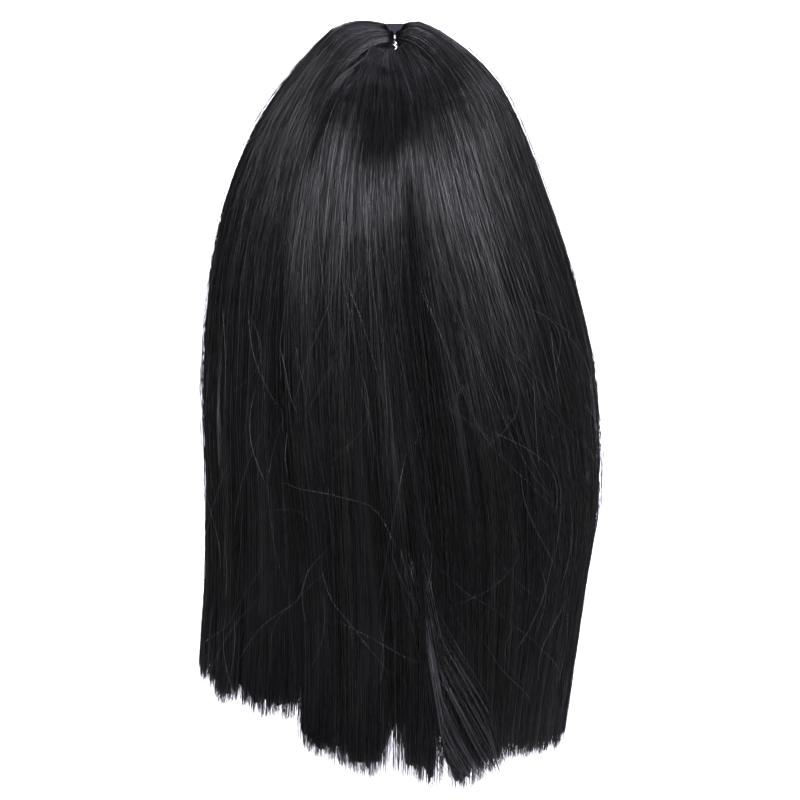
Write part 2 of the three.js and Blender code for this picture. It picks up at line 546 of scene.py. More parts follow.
SECTIONS: tuple[Section, ...] = (
    Section(9, 5, 5, 24, 95, 0, 12, 1, 0),
    Section(10.5, 13, 10, 31, 97, 0, 17, 1, 0.6),
    Section(11, 30, 21, 43, 100, 0, 24, 1, 1.2),
    Section(5, 48, 38, 60, 103, 0.13, 28, 0.97, 1.8),
    Section(-11, 64, 57, 80, 107, 0.2, 26, 0.92, 2.2),
    Section(-35, 84, 79, 101, 109, 0.25, 20, 0.82, 2.6),
    Section(-66, 105, 96, 118, 111, 0.31, 10, 0.66, 3),
    Section(-116, 127, 115, 134, 113, 0.38, 0, 0.44, 3.4),
    Section(-181, 142, 137, 145, 114, 0.33, 0, 0.22, 3.8),
    Section(-266, 149, 157, 151, 113, 0.24, 0, 0.06, 4.2),
    Section(-351, 148, 160, 151, 111, 0.19, 0, 0, 4.8),
    Section(-441, 150, 146.5, 147, 108, 0.135, 0, 0, 5.4),
    Section(-526, 157, 137.5, 139, 105, 0.06, 0, 0, 4),
)


@dataclass(frozen=True)
class Lock:
    """One lock of a fall: where its left edge leaves the parting and where it ends.

    The angles are in degrees from the back, tip is the height of its point in millimetres, and
    notch is how far the gap at its left edge climbs above the hem. The last lock of a table only
    closes the one before it.
    """

    crown: float
    hem: float
    tip: float
    notch: float


LEFT_LOCKS: tuple[Lock, ...] = (
    Lock(-152, -156, -506, 8),
    Lock(-138, -143, -513, 14),
    Lock(-124, -130, -508, 12),
    Lock(-111, -116, -502, 16),
    Lock(-98, -101, -494, 12),
    Lock(-85, -87, -493, 14),
    Lock(-71, -71, -499, 11),
    Lock(-55, -51, -495, 7),
    Lock(-39, -28, -495, 6),
)
BACK_LOCKS: tuple[Lock, ...] = (
    Lock(-39, -28, -518, 8),
    Lock(-24, -16, -533, 3),
    Lock(-9, 1, -533, 34),
    Lock(-3, 8.5, -545, 12),
    Lock(3, 14, -545, 32),
    Lock(9, 28, -532, 6),
    Lock(18, 40, -533, 8),
    Lock(33, 53, -533, 6),
)
RIGHT_LOCKS: tuple[Lock, ...] = (
    Lock(33, 53, -538, 6),
    Lock(48, 64, -545, 9),
    Lock(63, 76, -542, 10),
    Lock(78, 88, -535, 14),
    Lock(92, 100, -527, 12),
    Lock(107, 114, -521, 14),
    Lock(122, 128, -515, 12),
    Lock(137, 142, -508, 12),
    Lock(152, 156, -508, 8),
)


@dataclass(frozen=True)
class Head:
    """The head that the cap fits, in millimetres."""

    half_width: float = 76
    half_depth: float = 97
    rise: float = 105
    cap_wall: float = 2

    def top(self, forward: Array) -> Array:
        """Height of the cap's outside on the parting.

        Args:
            forward: Distance forward of the crown.

        Returns:
            Heights in millimetres.
        """
        share = np.clip(forward / (self.half_depth + self.cap_wall), -1, 1)
        return -self.rise + (self.rise + self.cap_wall) * np.sqrt(1 - share * share)


@dataclass(frozen=True)
class Relief:
    """A place where the combed surface stands out or lies back.

    It runs from one section row to another along a line that starts and ends at two crown
    angles. left and right are how many degrees it takes to fade out on either side, and out is
    how far the hair stands out, in millimetres.
    """

    first: float
    last: float
    crown_first: float
    crown_last: float
    left: float
    right: float
    out: float

    def at(self, crown: Array, level: Array) -> Array:
        """How far hair stands out here.

        Args:
            crown: Angle at which the hair leaves the parting, in degrees.
            level: Row of the section table, with fractions.

        Returns:
            Shifts in millimetres.
        """
        share = np.clip((level - self.first) / (self.last - self.first), 0, 1)
        away = crown - (self.crown_first + (self.crown_last - self.crown_first) * share)
        side = np.where(away < 0, 1 + away / self.left, 1 - away / self.right)
        ends = smoothstep(share, 0, 0.5) * (1 - smoothstep(share, 0.5, 1))
        return self.out * smoothstep(side, 0, 1) * ends


RELIEFS: tuple[Relief, ...] = (
    # The right side lies a little lower than the left beside the parting.
    Relief(0.3, 4.6, 80, 80, 50, 60, -5),
    # Groove between the left fall and the back, and the left fall lying back beside it.
    Relief(1.0, 6.4, -12, -39, 5, 4, -5.5),
    Relief(3.4, 11.2, -39, -39, 34, 0.01, -12),
    Relief(4.2, 9.8, -39.5, -39.5, 3.5, 1.5, -9),
    # The edge of the back that stands out beside that groove.
    Relief(2.2, 7.4, -17, -36, 7, 14, 8),
    Relief(6.0, 11.0, -33, -32, 5, 9, 7),
    # The back is round below the whorl, and its middle lock arches out of it.
    Relief(0.8, 6.4, 0, 0, 58, 60, 3.5),
    Relief(0.8, 5.4, -8, -6, 22, 14, 2.6),
    # Groove to the right of the middle lock.
    Relief(2.0, 5.6, 7, 14, 5, 5, -5),
    # The lock stays flat for longer beside that groove, so its shine starts lower there.
    Relief(4.0, 7.6, 8, 5, 4.5, 4.5, 6),
    # The middle lock stands out below the crown.
    Relief(4.2, 9.0, -3, -3, 16, 13, 10),
    # The middle strip, and the opening beside it where hair is combed to the right.
    Relief(7.3, 12.0, -8, -6, 8, 4, 13),
    Relief(5.6, 11.8, 4, 2, 5.5, 5, -20),
    Relief(5.6, 12.6, 24, 24, 16, 26, 13),
    # The ends of the lock that crosses to the right flick outwards.
    Relief(10.4, 13.6, 8, 8, 10, 10, 8),
    # The right fall lies back behind the hair that is combed over it.
    Relief(3.6, 10.4, 55, 55, 0.01, 34, -8),
)

# Crown angle, how far right of the middle and forward of the crown hair is rooted there, and the
# angle from the back at which it leaves its root.
LEFT_ROOTS = (
    (-152, -2, 84, -122),
    (-115, -2.6, 40, -95),
    (-90, -5, 6, -92),
    (-71, -5.6, -14, -90),
    (-55, -2.0, -34, -88),
    (-39, -1, -55, -80),
)
BACK_ROOTS = (
    (-39, -16, -61, -25),
    (-10, -8, -62, -8),
    (12, 2, -62, 6),
    (14, 4, -60, 30),
    (33, 5, -57, 55),
)
RIGHT_ROOTS = (
    (33, 1, -55, 75),
    (48, 2.0, -36, 88),
    (63, 5.6, -16, 90),
    (90, 5, 6, 92),
    (115, 2.6, 40, 95),
    (152, 2, 84, 122),
)


@dataclass(frozen=True)
class HairForm:
    """The outer and inner form that all the hair lies between, in millimetres."""

    head: Head = Head()
    # Height at which the section table ends, and from which the trim shifts heights.
    hem: float = -526
    trim_from: float = -200
    # Locks turn from their crown angle to their hem angle from this height, over this share.
    turn_from: float = 4
    turn_share: float = 0.9
    # Sideways shifts are angles at no less than this reach.
    least_reach: float = 8
    # The falls grow thin towards the face.
    thin_from_deg: float = 112
    thin_to_deg: float = 156
    thin_share: float = 0.45
    # Outward shifts go up above the first of these rows and sideways below the second.
    lift_rows: tuple[float, float] = (2.0, 6.0)
    # Strands lie on a curve from their roots down to this row.
    crown_rows: float = 5.0
    # Share of that curve's reach at which it leaves the root and comes into the fall.
    leave_share: float = 0.4
    arrive_share: float = 0.35
    # Lowest row in which the crown's height is sought, and how often the span is halved.
    sought_rows: float = 8.0
    sought_steps: int = 22

    def columns(self, level: Array) -> dict[str, Array]:
        """Reads the section table between its rows, on a smooth curve.

        Args:
            level: Row numbers, with fractions.

        Returns:
            Each column's values, by the column's name.
        """
        curve = spline(np.array([astuple(s) for s in SECTIONS], float), level)
        return {field.name: curve[..., k] for k, field in enumerate(fields(Section))}

    def points(
        self,
        level: Array,
        crown: Array,
        hem: Array,
        tip: Array,
        depth: Array | float,
        groove: Array | float,
        drift: Array | float = 0.0,
        lift: Array | float = 0.0,
    ) -> Array:
        """Places points in the hair.

        Args:
            level: Row of the section table, with fractions.
            crown: Angle at which the hair leaves the parting, in degrees.
            hem: Angle at which it ends, in degrees.
            tip: Height of its end, in millimetres.
            depth: Share of the way from the outer to the inner face.
            groove: Share of the groove's depth by which the point lies in.
            drift: Sideways shift in millimetres.
            lift: Outward shift in millimetres.

        Returns:
            Points in millimetres, with the last axis x, y, z.
        """
        c = self.columns(level)
        trim = smoothstep(-c["height"], -self.trim_from, -self.hem)
        height = c["height"] * (1 + (tip / self.hem - 1) * trim)
        fallen = (self.turn_from - height) / (self.turn_from - self.hem)
        angle = crown + (hem - crown) * smoothstep(fallen, 0, self.turn_share)
        reach = np.maximum((c["left"] + c["right"] + 2 * c["back"]) / 4, self.least_reach)
        angle = np.radians(angle) + drift / reach
        sin, cos = np.sin(angle), np.cos(angle)
        side = np.where(angle < 0, c["left"], c["right"])
        fore = np.where(cos > 0, c["back"], c["front"])
        root = -np.where(cos > 0, SECTIONS[0].back, SECTIONS[0].front) * cos
        z = height + (self.head.top(root) - self.head.cap_wall) * c["on_head"]
        thin = 1 - (1 - self.thin_share) * smoothstep(
            np.degrees(np.abs(angle)), self.thin_from_deg, self.thin_to_deg
        )
        inwards = 1 - c["inset"] * thin * depth
        out = lift - c["groove"] * groove
        out = out + sum(r.at(crown, level) for r in RELIEFS) * (1 - depth)
        flat = smoothstep(level, *self.lift_rows)
        x = (side * inwards + out * flat) * sin
        y = -(fore * inwards + out * flat) * cos
        z = z - c["sink"] * thin * depth + out * (1 - flat)
        return np.stack(np.broadcast_arrays(x, y, z), -1)

    def height_at(self, x: Array, y: Array) -> Array:
        """Height of the crown's surface over a point.

        Args:
            x: Distance right of the middle, in millimetres.
            y: Distance forward of the crown, in millimetres.

        Returns:
            Heights in millimetres.
        """
        low, high = np.zeros(x.shape), np.full(x.shape, self.sought_rows)
        for _ in range(self.sought_steps):
            middle = (low + high) / 2
            c = self.columns(middle)
            across = x / np.where(x < 0, c["left"], c["right"])
            along = y / np.where(y < 0, c["back"], c["front"])
            inside = across**2 + along**2 < 1
            high = np.where(inside, middle, high)
            low = np.where(inside, low, middle)
        root = np.where(y < 0, SECTIONS[0].back, SECTIONS[0].front) * np.clip(along, -1, 1)
        return c["height"] + (self.head.top(root) - self.head.cap_wall) * c["on_head"]

    def rooted(self, lines: Array, level: Array, crown: Array, roots: Roots) -> Array:
        """Lays the upper part of strands from their roots at the parting, over the crown.

        Args:
            lines: Points of strands in millimetres, as strands by points by x, y, z.
            level: Row of the section table at each point, one row of numbers.
            crown: Crown angle of each strand.
            roots: Crown angles with the roots' places.

        Returns:
            The points, with those above the crown rows laid anew.
        """
        upper = int(np.searchsorted(level, self.crown_rows))
        t = (level[:upper] / self.crown_rows)[None, :, None]
        table = np.array(roots, float)
        start = np.stack([np.interp(crown, table[:, 0], table[:, k]) for k in (1, 2)], -1)[:, None]
        end = lines[:, upper : upper + 1]
        onward = lines[:, upper + 1 : upper + 2, :2] - end[..., :2]
        onward = onward / np.linalg.norm(onward, axis=-1, keepdims=True)
        reach = np.linalg.norm(end[..., :2] - start, axis=-1, keepdims=True)
        turn = np.radians(np.interp(crown, table[:, 0], table[:, 3]))
        leave = np.stack([np.sin(turn), -np.cos(turn)], -1)[:, None]
        a = start + leave * reach * self.leave_share
        b = end[..., :2] - onward * reach * self.arrive_share
        s = 1 - t
        plan = s**3 * start + 3 * s * s * t * a + 3 * s * t * t * b + t**3 * end[..., :2]
        height = self.height_at(plan[..., 0], plan[..., 1])
        rest = end[..., 2] - self.height_at(end[..., 0], end[..., 1])
        raised = sum(r.at(crown[:, None], level[None, :upper]) for r in RELIEFS)
        z = height + rest * t[..., 0] ** 2 + raised * (1 - t[..., 0] ** 2)
        return np.concatenate([np.concatenate([plan, z[..., None]], -1), lines[:, upper:]], 1)


FORM = HairForm()
LAST_ROW = len(SECTIONS) - 1


def mesh_object(
    name: str, points: Array, faces: Array, material: bpy.types.Material
) -> bpy.types.Object:
    """Makes a smooth mesh object from arrays.

    Args:
        name: Name of the piece.
        points: Vertices, one row each.
        faces: Vertex numbers of each face, four to a row. A triangle repeats its last number.
        material: Finish of the piece.

    Returns:
        The object, linked to the scene.
    """
    mesh = bpy.data.meshes.new(name)
    sides = np.where(faces[:, 2] == faces[:, 3], 3, 4)
    keep = np.ones(faces.shape, bool)
    keep[:, 3] = sides == 4
    corners = faces[keep]
    mesh.vertices.add(len(points))
    mesh.vertices.foreach_set("co", points.astype(np.float32).ravel())
    mesh.loops.add(len(corners))
    mesh.loops.foreach_set("vertex_index", corners.astype(np.int32))
    mesh.polygons.add(len(faces))
    starts = np.concatenate([[0], np.cumsum(sides)[:-1]])
    mesh.polygons.foreach_set("loop_start", starts.astype(np.int32))
    mesh.polygons.foreach_set("loop_total", sides.astype(np.int32))
    mesh.polygons.foreach_set("use_smooth", np.ones(len(faces), bool))
    mesh.materials.append(material)
    mesh.update(calc_edges=True)
    mesh.validate()
    piece = bpy.data.objects.new(name, mesh)
    bpy.context.scene.collection.objects.link(piece)
    return piece


def add_values(mesh: bpy.types.Mesh, name: str, values: Array) -> None:
    """Stores one number for each vertex.

    Args:
        mesh: Mesh that the numbers belong to.
        name: Name that the material reads them by.
        values: One number for each vertex.
    """
    layer = mesh.attributes.new(name, "FLOAT", "POINT")
    layer.data.foreach_set("value", values.astype(np.float32).ravel())


def tube_faces(points: int, sides: int, closed: bool) -> Array:
    """Numbers the faces of one tube.

    Args:
        points: Points along the tube.
        sides: Sides of the tube.
        closed: Whether its ends meet. Open ends are capped.

    Returns:
        Vertex numbers, four to a face.
    """
    ring = np.arange(points if closed else points - 1)[:, None] * sides
    after_ring = (ring + sides) % (points * sides)
    side = np.arange(sides)[None]
    after = (side + 1) % sides
    quads = np.stack([ring + side, after_ring + side, after_ring + after, ring + after], -1)
    faces = [quads.reshape(-1, 4)]
    if not closed:
        end = (points - 1) * sides
        fan = np.arange(1, sides - 1)
        low = np.stack([np.zeros_like(fan), fan, fan + 1, fan + 1], -1)
        faces += [low, end + low[:, [0, 2, 1, 1]]]
    return np.concatenate(faces)


def tubes(
    name: str,
    paths: list[Array],
    radius: float,
    material: bpy.types.Material,
    closed: bool = False,
) -> bpy.types.Object:
    """Builds round tubes along paths as one piece.

    Args:
        name: Name of the piece.
        paths: Points of each path in metres, one row each.
        radius: Radius in metres.
        material: Finish of the tubes.
        closed: Whether each path's ends meet.

    Returns:
        The object.
    """
    turn = np.arange(TUBE_SIDES) * 2 * np.pi / TUBE_SIDES
    points, faces, count = [], [], 0
    for path in paths:
        if closed:
            along = np.roll(path, -1, 0) - np.roll(path, 1, 0)
        else:
            along = np.gradient(path, axis=0)
        along = along / np.linalg.norm(along, axis=1, keepdims=True)
        across = np.cross(along, NEARLY_UP)
        across = across / np.linalg.norm(across, axis=1, keepdims=True)
        up = np.cross(across, along)
        ring = np.cos(turn)[:, None] * across[:, None] + np.sin(turn)[:, None] * up[:, None]
        points.append((path[:, None] + radius * ring).reshape(-1, 3))
        faces.append(tube_faces(len(path), TUBE_SIDES, closed) + count)
        count += len(path) * TUBE_SIDES
    return mesh_object(name, np.concatenate(points), np.concatenate(faces), material)


def grid_area(points: Array) -> float:
    """Area of a grid of points.

    Args:
        points: Points in metres, as columns by rows by x, y, z.

    Returns:
        The area in square metres.
    """
    first, second = points[1:, 1:] - points[:-1, :-1], points[1:, :-1] - points[:-1, 1:]
    return float(np.linalg.norm(np.cross(first, second), axis=-1).sum() / 2)


def wall(
    name: str, outer: Array, inner: Array, joined: bool, material: bpy.types.Material
) -> bpy.types.Object:
    """Builds a closed wall between two grids of points.

    Args:
        name: Name of the piece.
        outer: Outer points in metres, as columns by rows by x, y, z.
        inner: Inner points, of the same shape.
        joined: Whether the last column meets the first.
        material: Finish of the wall.

    Returns:
        The object.
    """
    n, m = outer.shape[:2]
    at = np.arange(2 * n * m).reshape(2, n, m)
    if joined:
        at = np.concatenate([at, at[:, :1]], 1)
    walls = [
        np.stack([at[0, :-1, :-1], at[0, :-1, 1:], at[0, 1:, 1:], at[0, 1:, :-1]], -1),
        np.stack([at[1, :-1, :-1], at[1, 1:, :-1], at[1, 1:, 1:], at[1, :-1, 1:]], -1),
        np.stack([at[0, :-1, 0], at[0, 1:, 0], at[1, 1:, 0], at[1, :-1, 0]], -1),
        np.stack([at[0, :-1, -1], at[1, :-1, -1], at[1, 1:, -1], at[0, 1:, -1]], -1),
    ]
    if not joined:
        walls += [
            np.stack([at[0, 0, :-1], at[1, 0, :-1], at[1, 0, 1:], at[0, 0, 1:]], -1),
            np.stack([at[0, -1, :-1], at[0, -1, 1:], at[1, -1, 1:], at[1, -1, :-1]], -1),
        ]
    faces = np.concatenate([w.reshape(-1, 4) for w in walls])
    return mesh_object(name, np.concatenate([outer, inner]).reshape(-1, 3), faces, material)


class StrandMesh:
    """Turns the middle lines of strands into one mesh of thin three-sided tubes."""

    SIDES = 3
    # A strand's outer side faces away from the upright axis, and up where it lies on that axis.
    AXIS_RISE = 0.02
    # Place of a strand's first side in its tone's column of the map, step between sides, margin.
    MAP_FIRST = 0.2
    MAP_STEP = 0.3
    MAP_MARGIN = 0.01

    def __init__(self, lines: Array, radius: Array, tone: Array) -> None:
        """Keeps the strands.

        Args:
            lines: Points of each strand, as strands by points by x, y, z.
            radius: Radius at each point, as strands by points.
            tone: Tone of each strand, 0 to 1.
        """
        self.lines = lines
        self.radius = radius
        self.step = np.clip((tone * TONE_STEPS).astype(int), 0, TONE_STEPS - 1)

    def rings(self) -> Array:
        """Works out the corners of every tube.

        Returns:
            Vertices as strands by points by sides by x, y, z.
        """
        along = np.gradient(self.lines, axis=1)
        along /= np.maximum(np.linalg.norm(along, axis=-1, keepdims=True), TINY)
        out = self.lines * (1, 1, 0) + (0, 0, self.AXIS_RISE)
        across = np.cross(along, out)
        across /= np.maximum(np.linalg.norm(across, axis=-1, keepdims=True), TINY)
        out = np.cross(across, along)
        turn = np.pi / 2 + np.arange(self.SIDES) * 2 * np.pi / self.SIDES
        ring = np.cos(turn)[:, None] * across[:, :, None] + np.sin(turn)[:, None] * out[:, :, None]
        return self.lines[:, :, None] + ring * self.radius[:, :, None, None]

    def faces(self) -> Array:
        """Numbers the faces of every tube, with a triangle at each end.

        Returns:
            Vertex numbers, four to a face.
        """
        strands, points = self.radius.shape
        one = tube_faces(points, self.SIDES, closed=False)
        first = np.arange(strands) * points * self.SIDES
        return (one[None] + first[:, None, None]).reshape(-1, 4)

    def piece(self, name: str, finishes: list[bpy.types.Material]) -> bpy.types.Object:
        """Builds the mesh object, with each strand's tone and a map that follows it.

        Args:
            name: Name of the piece.
            finishes: Finishes that the strands take in turn of their tones.

        Returns:
            The object.
        """
        strands, points = self.radius.shape
        faces = self.faces()
        piece = mesh_object(name, self.rings().reshape(-1, 3), faces, finishes[0])
        mesh = piece.data
        for finish in finishes[1:]:
            mesh.materials.append(finish)
        turns = np.repeat(self.step % len(finishes), len(faces) // strands)
        mesh.polygons.foreach_set("material_index", turns.astype(np.int32))
        tone = (self.step + 0.5) / TONE_STEPS
        along = np.linspace(0, 1, points)
        per_strand = points * self.SIDES
        add_values(mesh, "tone", np.repeat(tone, per_strand))
        add_values(mesh, "along", np.tile(np.repeat(along, self.SIDES), strands))
        corners = np.empty(len(mesh.loops), np.int32)
        mesh.loops.foreach_get("vertex_index", corners)
        side = corners % self.SIDES
        column = self.step[corners // per_strand]
        u = (column + self.MAP_FIRST + self.MAP_STEP * side) / TONE_STEPS
        place = along[(corners // self.SIDES) % points]
        v = self.MAP_MARGIN + (1 - 2 * self.MAP_MARGIN) * place
        layer = mesh.uv_layers.new(name=BAKE_MAP, do_init=False)
        layer.uv.foreach_set("vector", np.stack([u, v], -1).astype(np.float32).ravel())
        return piece


@dataclass(frozen=True)
class LayerPlan:
    """How one layer of strands is laid.

    rows are the section rows of a strand's points, shallow and deep bound its depth from the
    outer face, radius is the strand's radius in millimetres, and stray is the share of strands
    that cross the others.
    """

    name: str
    rows: tuple[float, ...]
    shallow: float
    deep: float
    radius: float
    stray: float


class Layer(Enum):
    """The layers of strands in a fall.

    A real fibre is about 0.08 mm thick. A strand stands for a few that cling together.
    """

    TOP = LayerPlan(
        "top_layer",
        (0, 0.35, 0.8, 1.3, 1.9, 2.6, 3.4, 4.2, 5, 5.8, 6.6, 7.4, 8.2, 9, 9.8, 10.6, 11.3, 12),
        shallow=0.0,
        deep=0.08,
        radius=0.2,
        stray=0.06,
    )
    OVER = LayerPlan(
        "over_layer",
        (3.2, 4, 4.8, 5.6, 6.4, 7.2, 8, 8.8, 9.6, 10.4, 11.2, 12),
        shallow=0.0,
        deep=0.09,
        radius=0.18,
        stray=0.08,
    )
    ENDS = LayerPlan(
        "cut_ends",
        (10.2, 10.8, 11.3, 11.7, 12),
        shallow=0.05,
        deep=0.95,
        radius=0.22,
        stray=0.0,
    )
    INNER = LayerPlan(
        "inner_layer",
        (2.5, 3.4, 4.4, 5.4, 6.5, 7.7, 8.9, 10, 11.1, 12),
        shallow=0.9,
        deep=1.0,
        radius=0.24,
        stray=0.02,
    )


@dataclass(frozen=True)
class Deal:
    """Where each strand of a layer belongs.

    lock and tuft are numbers in the whole fall. within is the place across the tuft, across is
    the place across the lock and centre is the tuft's middle across the lock, each from 0 to 1.
    """

    lock: Array
    tuft: Array
    within: Array
    across: Array
    centre: Array


@dataclass
class Fall:
    """One fall of hair: a dark body with layers of strands over it and inside it.

    Lengths are in millimetres, rows are rows of the section table, and a share of the fall runs
    from 0 at the crown to 1 at the hem.
    """

    node: str
    locks: tuple[Lock, ...]
    roots: Roots
    seed: int
    # Strands in each layer, in the order of Layer.
    counts: tuple[int, int, int, int] = (1100, 1400, 1300, 450)
    tufts_per_lock: int = 11
    # Strands lie closer together behind this crown angle than in front of it.
    dense_to_deg: float = 95
    dense: float = 1.35
    sparse: float = 0.65
    # How far the middle of a tuft and the rows of a strand's points are off their even places.
    tuft_jitter: float = 0.3
    row_jitter: float = 0.3
    # How far strands draw together in a tuft, and from which share of the fall.
    gather: float = 0.35
    gather_from: float = 0.6
    # A gap of this depth would draw its lock to a point, from this share of the fall on.
    point_notch: float = 105
    point_from: float = 0.86
    # Spread of the hem angles of strands that cross the others, of tufts and of strands.
    stray_deg: float = 8
    tuft_deg: float = 2.0
    strand_deg: float = 1.0
    # Unevenness of the ends of tufts and strands, and how far they reach past the trim.
    tuft_trim: float = 2.0
    strand_trim: float = 3.5
    past_trim: float = 3
    # Sideways wander of tufts and strands, and the shares of the fall in which it grows.
    tuft_wander: float = 0.9
    strand_wander: float = 1.0
    wander_shares: tuple[float, float] = (0.1, 0.6)
    # Shape of the spread of depths: most strands lie near a layer's outer face.
    depth_beta: tuple[float, float] = (1, 1.6)
    # The over layer starts deeper by this share, and comes out between these rows.
    over_depth: float = 0.1
    over_rows: tuple[float, float] = (3.2, 5.5)
    # A share of the hair from this crown angle on lies on the fall's front edge, at these angles.
    front_from_deg: float = 134
    front_share: float = 0.55
    front_deg: float = 152.6
    front_hem_deg: float = 156.6
    front_depth: float = 0.95
    # How round a tuft is, how unevenly strands stand out, and how far all of them lie back so
    # that those that stand out most reach the form.
    tuft_round: float = 0.6
    strand_lift: float = 0.3
    stray_lift: tuple[float, float] = (0.3, 1.8)
    tuft_wave: float = 0.5
    strand_wave: float = 0.2
    lie_back: float = 1.3
    lift_rows: tuple[float, float] = (0.5, 3.5)
    # Share of the groove's depth at the edges of a lock.
    groove: float = 0.6
    # How far a strand sinks for its depth on the crown, and at its root.
    crown_sink: float = 20
    crown_rows: tuple[float, float] = (2, 5)
    root_sink: float = 0.6
    root_row: float = 0.8
    # Strands are thin at their roots and thin out from a share of the fall to their tips.
    root_width: float = 0.2
    tip_width: float = 0.3
    tip_from: float = 0.95
    widths: tuple[float, float] = (0.6, 1.4)
    # The body lies below the strands, ends above them and closes towards its hem.
    body_depth: float = 0.07
    body_inner_depth: float = 0.88
    body_close: tuple[float, float] = (0.3, 0.28)
    body_close_from: float = 11
    body_sink: float = 2.2
    body_inner_row: float = 2.2
    body_short: tuple[float, float] = (3, 13)
    body_notch: float = 1.3
    body_columns: int = 16
    body_rows: int = 46
    # Width of a lock as the combed finish sees it.
    lock_width: float = 38

    BODY_SEED = 99
    WANDER_TURNS = (0.06, 0.18)

    @property
    def tufts(self) -> int:
        """How many tufts the fall has."""
        return (len(self.locks) - 1) * self.tufts_per_lock

    def spread(self, lock: Array, across: Array) -> tuple[Array, Array]:
        """Angles of hair at places across the locks.

        Args:
            lock: Number of each strand's lock.
            across: Place across the lock, 0 to 1.

        Returns:
            Angles at the crown and at the hem, in degrees.
        """
        crown = np.array([k.crown for k in self.locks], float)
        hem = np.array([k.hem for k in self.locks], float)
        return (
            crown[lock] + (crown[lock + 1] - crown[lock]) * across,
            hem[lock] + (hem[lock + 1] - hem[lock]) * across,
        )

    def notches(self, lock: Array, across: Array) -> Array:
        """Depth of the gap at the nearer edge of the lock.

        Args:
            lock: Number of each strand's lock.
            across: Place across the lock, 0 to 1.

        Returns:
            Depths in millimetres.
        """
        notch = np.array([k.notch for k in self.locks], float)
        return np.where(across < 0.5, notch[lock], notch[lock + 1])

    def ends(self, lock: Array, across: Array, deepen: float = 1.0) -> Array:
        """Height of the trimmed end at places across the locks.

        Args:
            lock: Number of each strand's lock.
            across: Place across the lock, 0 to 1.
            deepen: How many times deeper the gaps between locks are.

        Returns:
            Heights in millimetres.
        """
        tip = np.array([k.tip for k in self.locks[:-1]], float)
        slope = np.interp(lock + across, np.arange(len(tip)) + 0.5, tip)
        return slope + deepen * self.notches(lock, across) * (2 * across - 1) ** 2

    def deal(self, rng: np.random.Generator, count: int) -> Deal:
        """Deals strands out to the locks and their tufts.

        Args:
            rng: Source of random draws.
            count: How many strands.

        Returns:
            Where each strand belongs.
        """
        widths = np.abs(np.diff([k.hem + k.crown for k in self.locks]))
        middle = np.abs([a.crown + b.crown for a, b in zip(self.locks, self.locks[1:])]) / 2
        widths = widths * np.where(middle < self.dense_to_deg, self.dense, self.sparse)
        lock = np.sort(rng.choice(len(widths), count, p=widths / widths.sum()))
        tuft = rng.integers(0, self.tufts_per_lock, count)
        number = lock * self.tufts_per_lock + tuft
        within = rng.uniform(0, 1, count)
        across = (tuft + within) / self.tufts_per_lock
        jitter = rng.uniform(-self.tuft_jitter, self.tuft_jitter, self.tufts)
        centre = (tuft + 0.5 + jitter[number]) / self.tufts_per_lock
        return Deal(lock, number, within, across, centre)

    def places(self, deal: Deal, fallen: Array) -> Array:
        """Draws tufts together and locks to points along the strands.

        Args:
            deal: Where each strand belongs.
            fallen: Share of the fall at each point of each strand.

        Returns:
            Places across the locks, 0 to 1.
        """
        gather = self.gather * smoothstep(fallen, self.gather_from, 1.0)
        place = deal.across[:, None] + (deal.centre - deal.across)[:, None] * gather
        pull = (self.notches(deal.lock, deal.across) / self.point_notch)[:, None]
        return 0.5 + (place - 0.5) * (1 - pull * smoothstep(fallen, self.point_from, 1.0))

    def rounding(self, deal: Deal) -> Array:
        """How far strands stand out for their place across a round tuft, zero at its middle."""
        return -self.tuft_round * (2 * deal.within - 1)[:, None] ** 2

    def lifts(
        self, rng: np.random.Generator, deal: Deal, level: Array, stray: Array
    ) -> Array:
        """Draws how far strands stand out.

        Args:
            rng: Source of random draws.
            deal: Where each strand belongs.
            level: Row of each point of each strand.
            stray: Which strands cross the others.

        Returns:
            Shifts in millimetres.
        """
        count = len(level)
        lift = rng.normal(0, self.strand_lift, (count, 1))
        lift = lift + stray * rng.uniform(*self.stray_lift, (count, 1)) + self.rounding(deal)
        lift = lift + self.waves(rng, 2 * level, self.tufts, self.tuft_wave, deal.tuft)
        lift = lift + self.waves(rng, 3 * level, count, self.strand_wave)
        return (lift - self.lie_back) * smoothstep(level, *self.lift_rows)

    def strands(self, layer: Layer, count: int) -> StrandMesh:
        """Draws the strands of one layer.

        Args:
            layer: Which layer.
            count: How many strands.

        Returns:
            The strands.
        """
        plan = layer.value
        rng = np.random.default_rng((self.seed, list(Layer).index(layer)))
        deal = self.deal(rng, count)
        rows = np.array(plan.rows, float)
        spare = np.where((rows > FORM.crown_rows) & (rows < LAST_ROW), self.row_jitter, 0.0)
        level = rows[None] + rng.uniform(-1, 1, (count, len(rows))) * spare
        fallen = level / LAST_ROW
        place = self.places(deal, fallen)
        crown, hem = self.spread(deal.lock[:, None], place)
        stray = (rng.uniform(0, 1, count) < plan.stray)[:, None]
        hem = hem + rng.normal(0, self.stray_deg, (count, 1)) * stray
        turned = rng.normal(0, self.tuft_deg, self.tufts)[deal.tuft, None]
        turned = turned + rng.normal(0, self.strand_deg, (count, 1))
        hem = hem + turned * (1 - (2 * deal.across - 1) ** 2)[:, None]
        tip = self.ends(deal.lock, deal.across)
        tip = tip + rng.normal(0, self.tuft_trim, self.tufts)[deal.tuft]
        tip = tip + rng.exponential(self.strand_trim, count) - self.past_trim
        wander = self.waves(rng, level, self.tufts, self.tuft_wander, deal.tuft)
        wander = wander + self.waves(rng, level, count, self.strand_wander)
        drift = wander * smoothstep(fallen, *self.wander_shares)
        depth = rng.beta(*self.depth_beta, count)[:, None]
        depth = plan.shallow + (plan.deep - plan.shallow) * depth
        if layer is Layer.OVER:
            depth = depth + self.over_depth * (1 - smoothstep(level, *self.over_rows))
            front = np.abs(crown[:, :1]) > self.front_from_deg
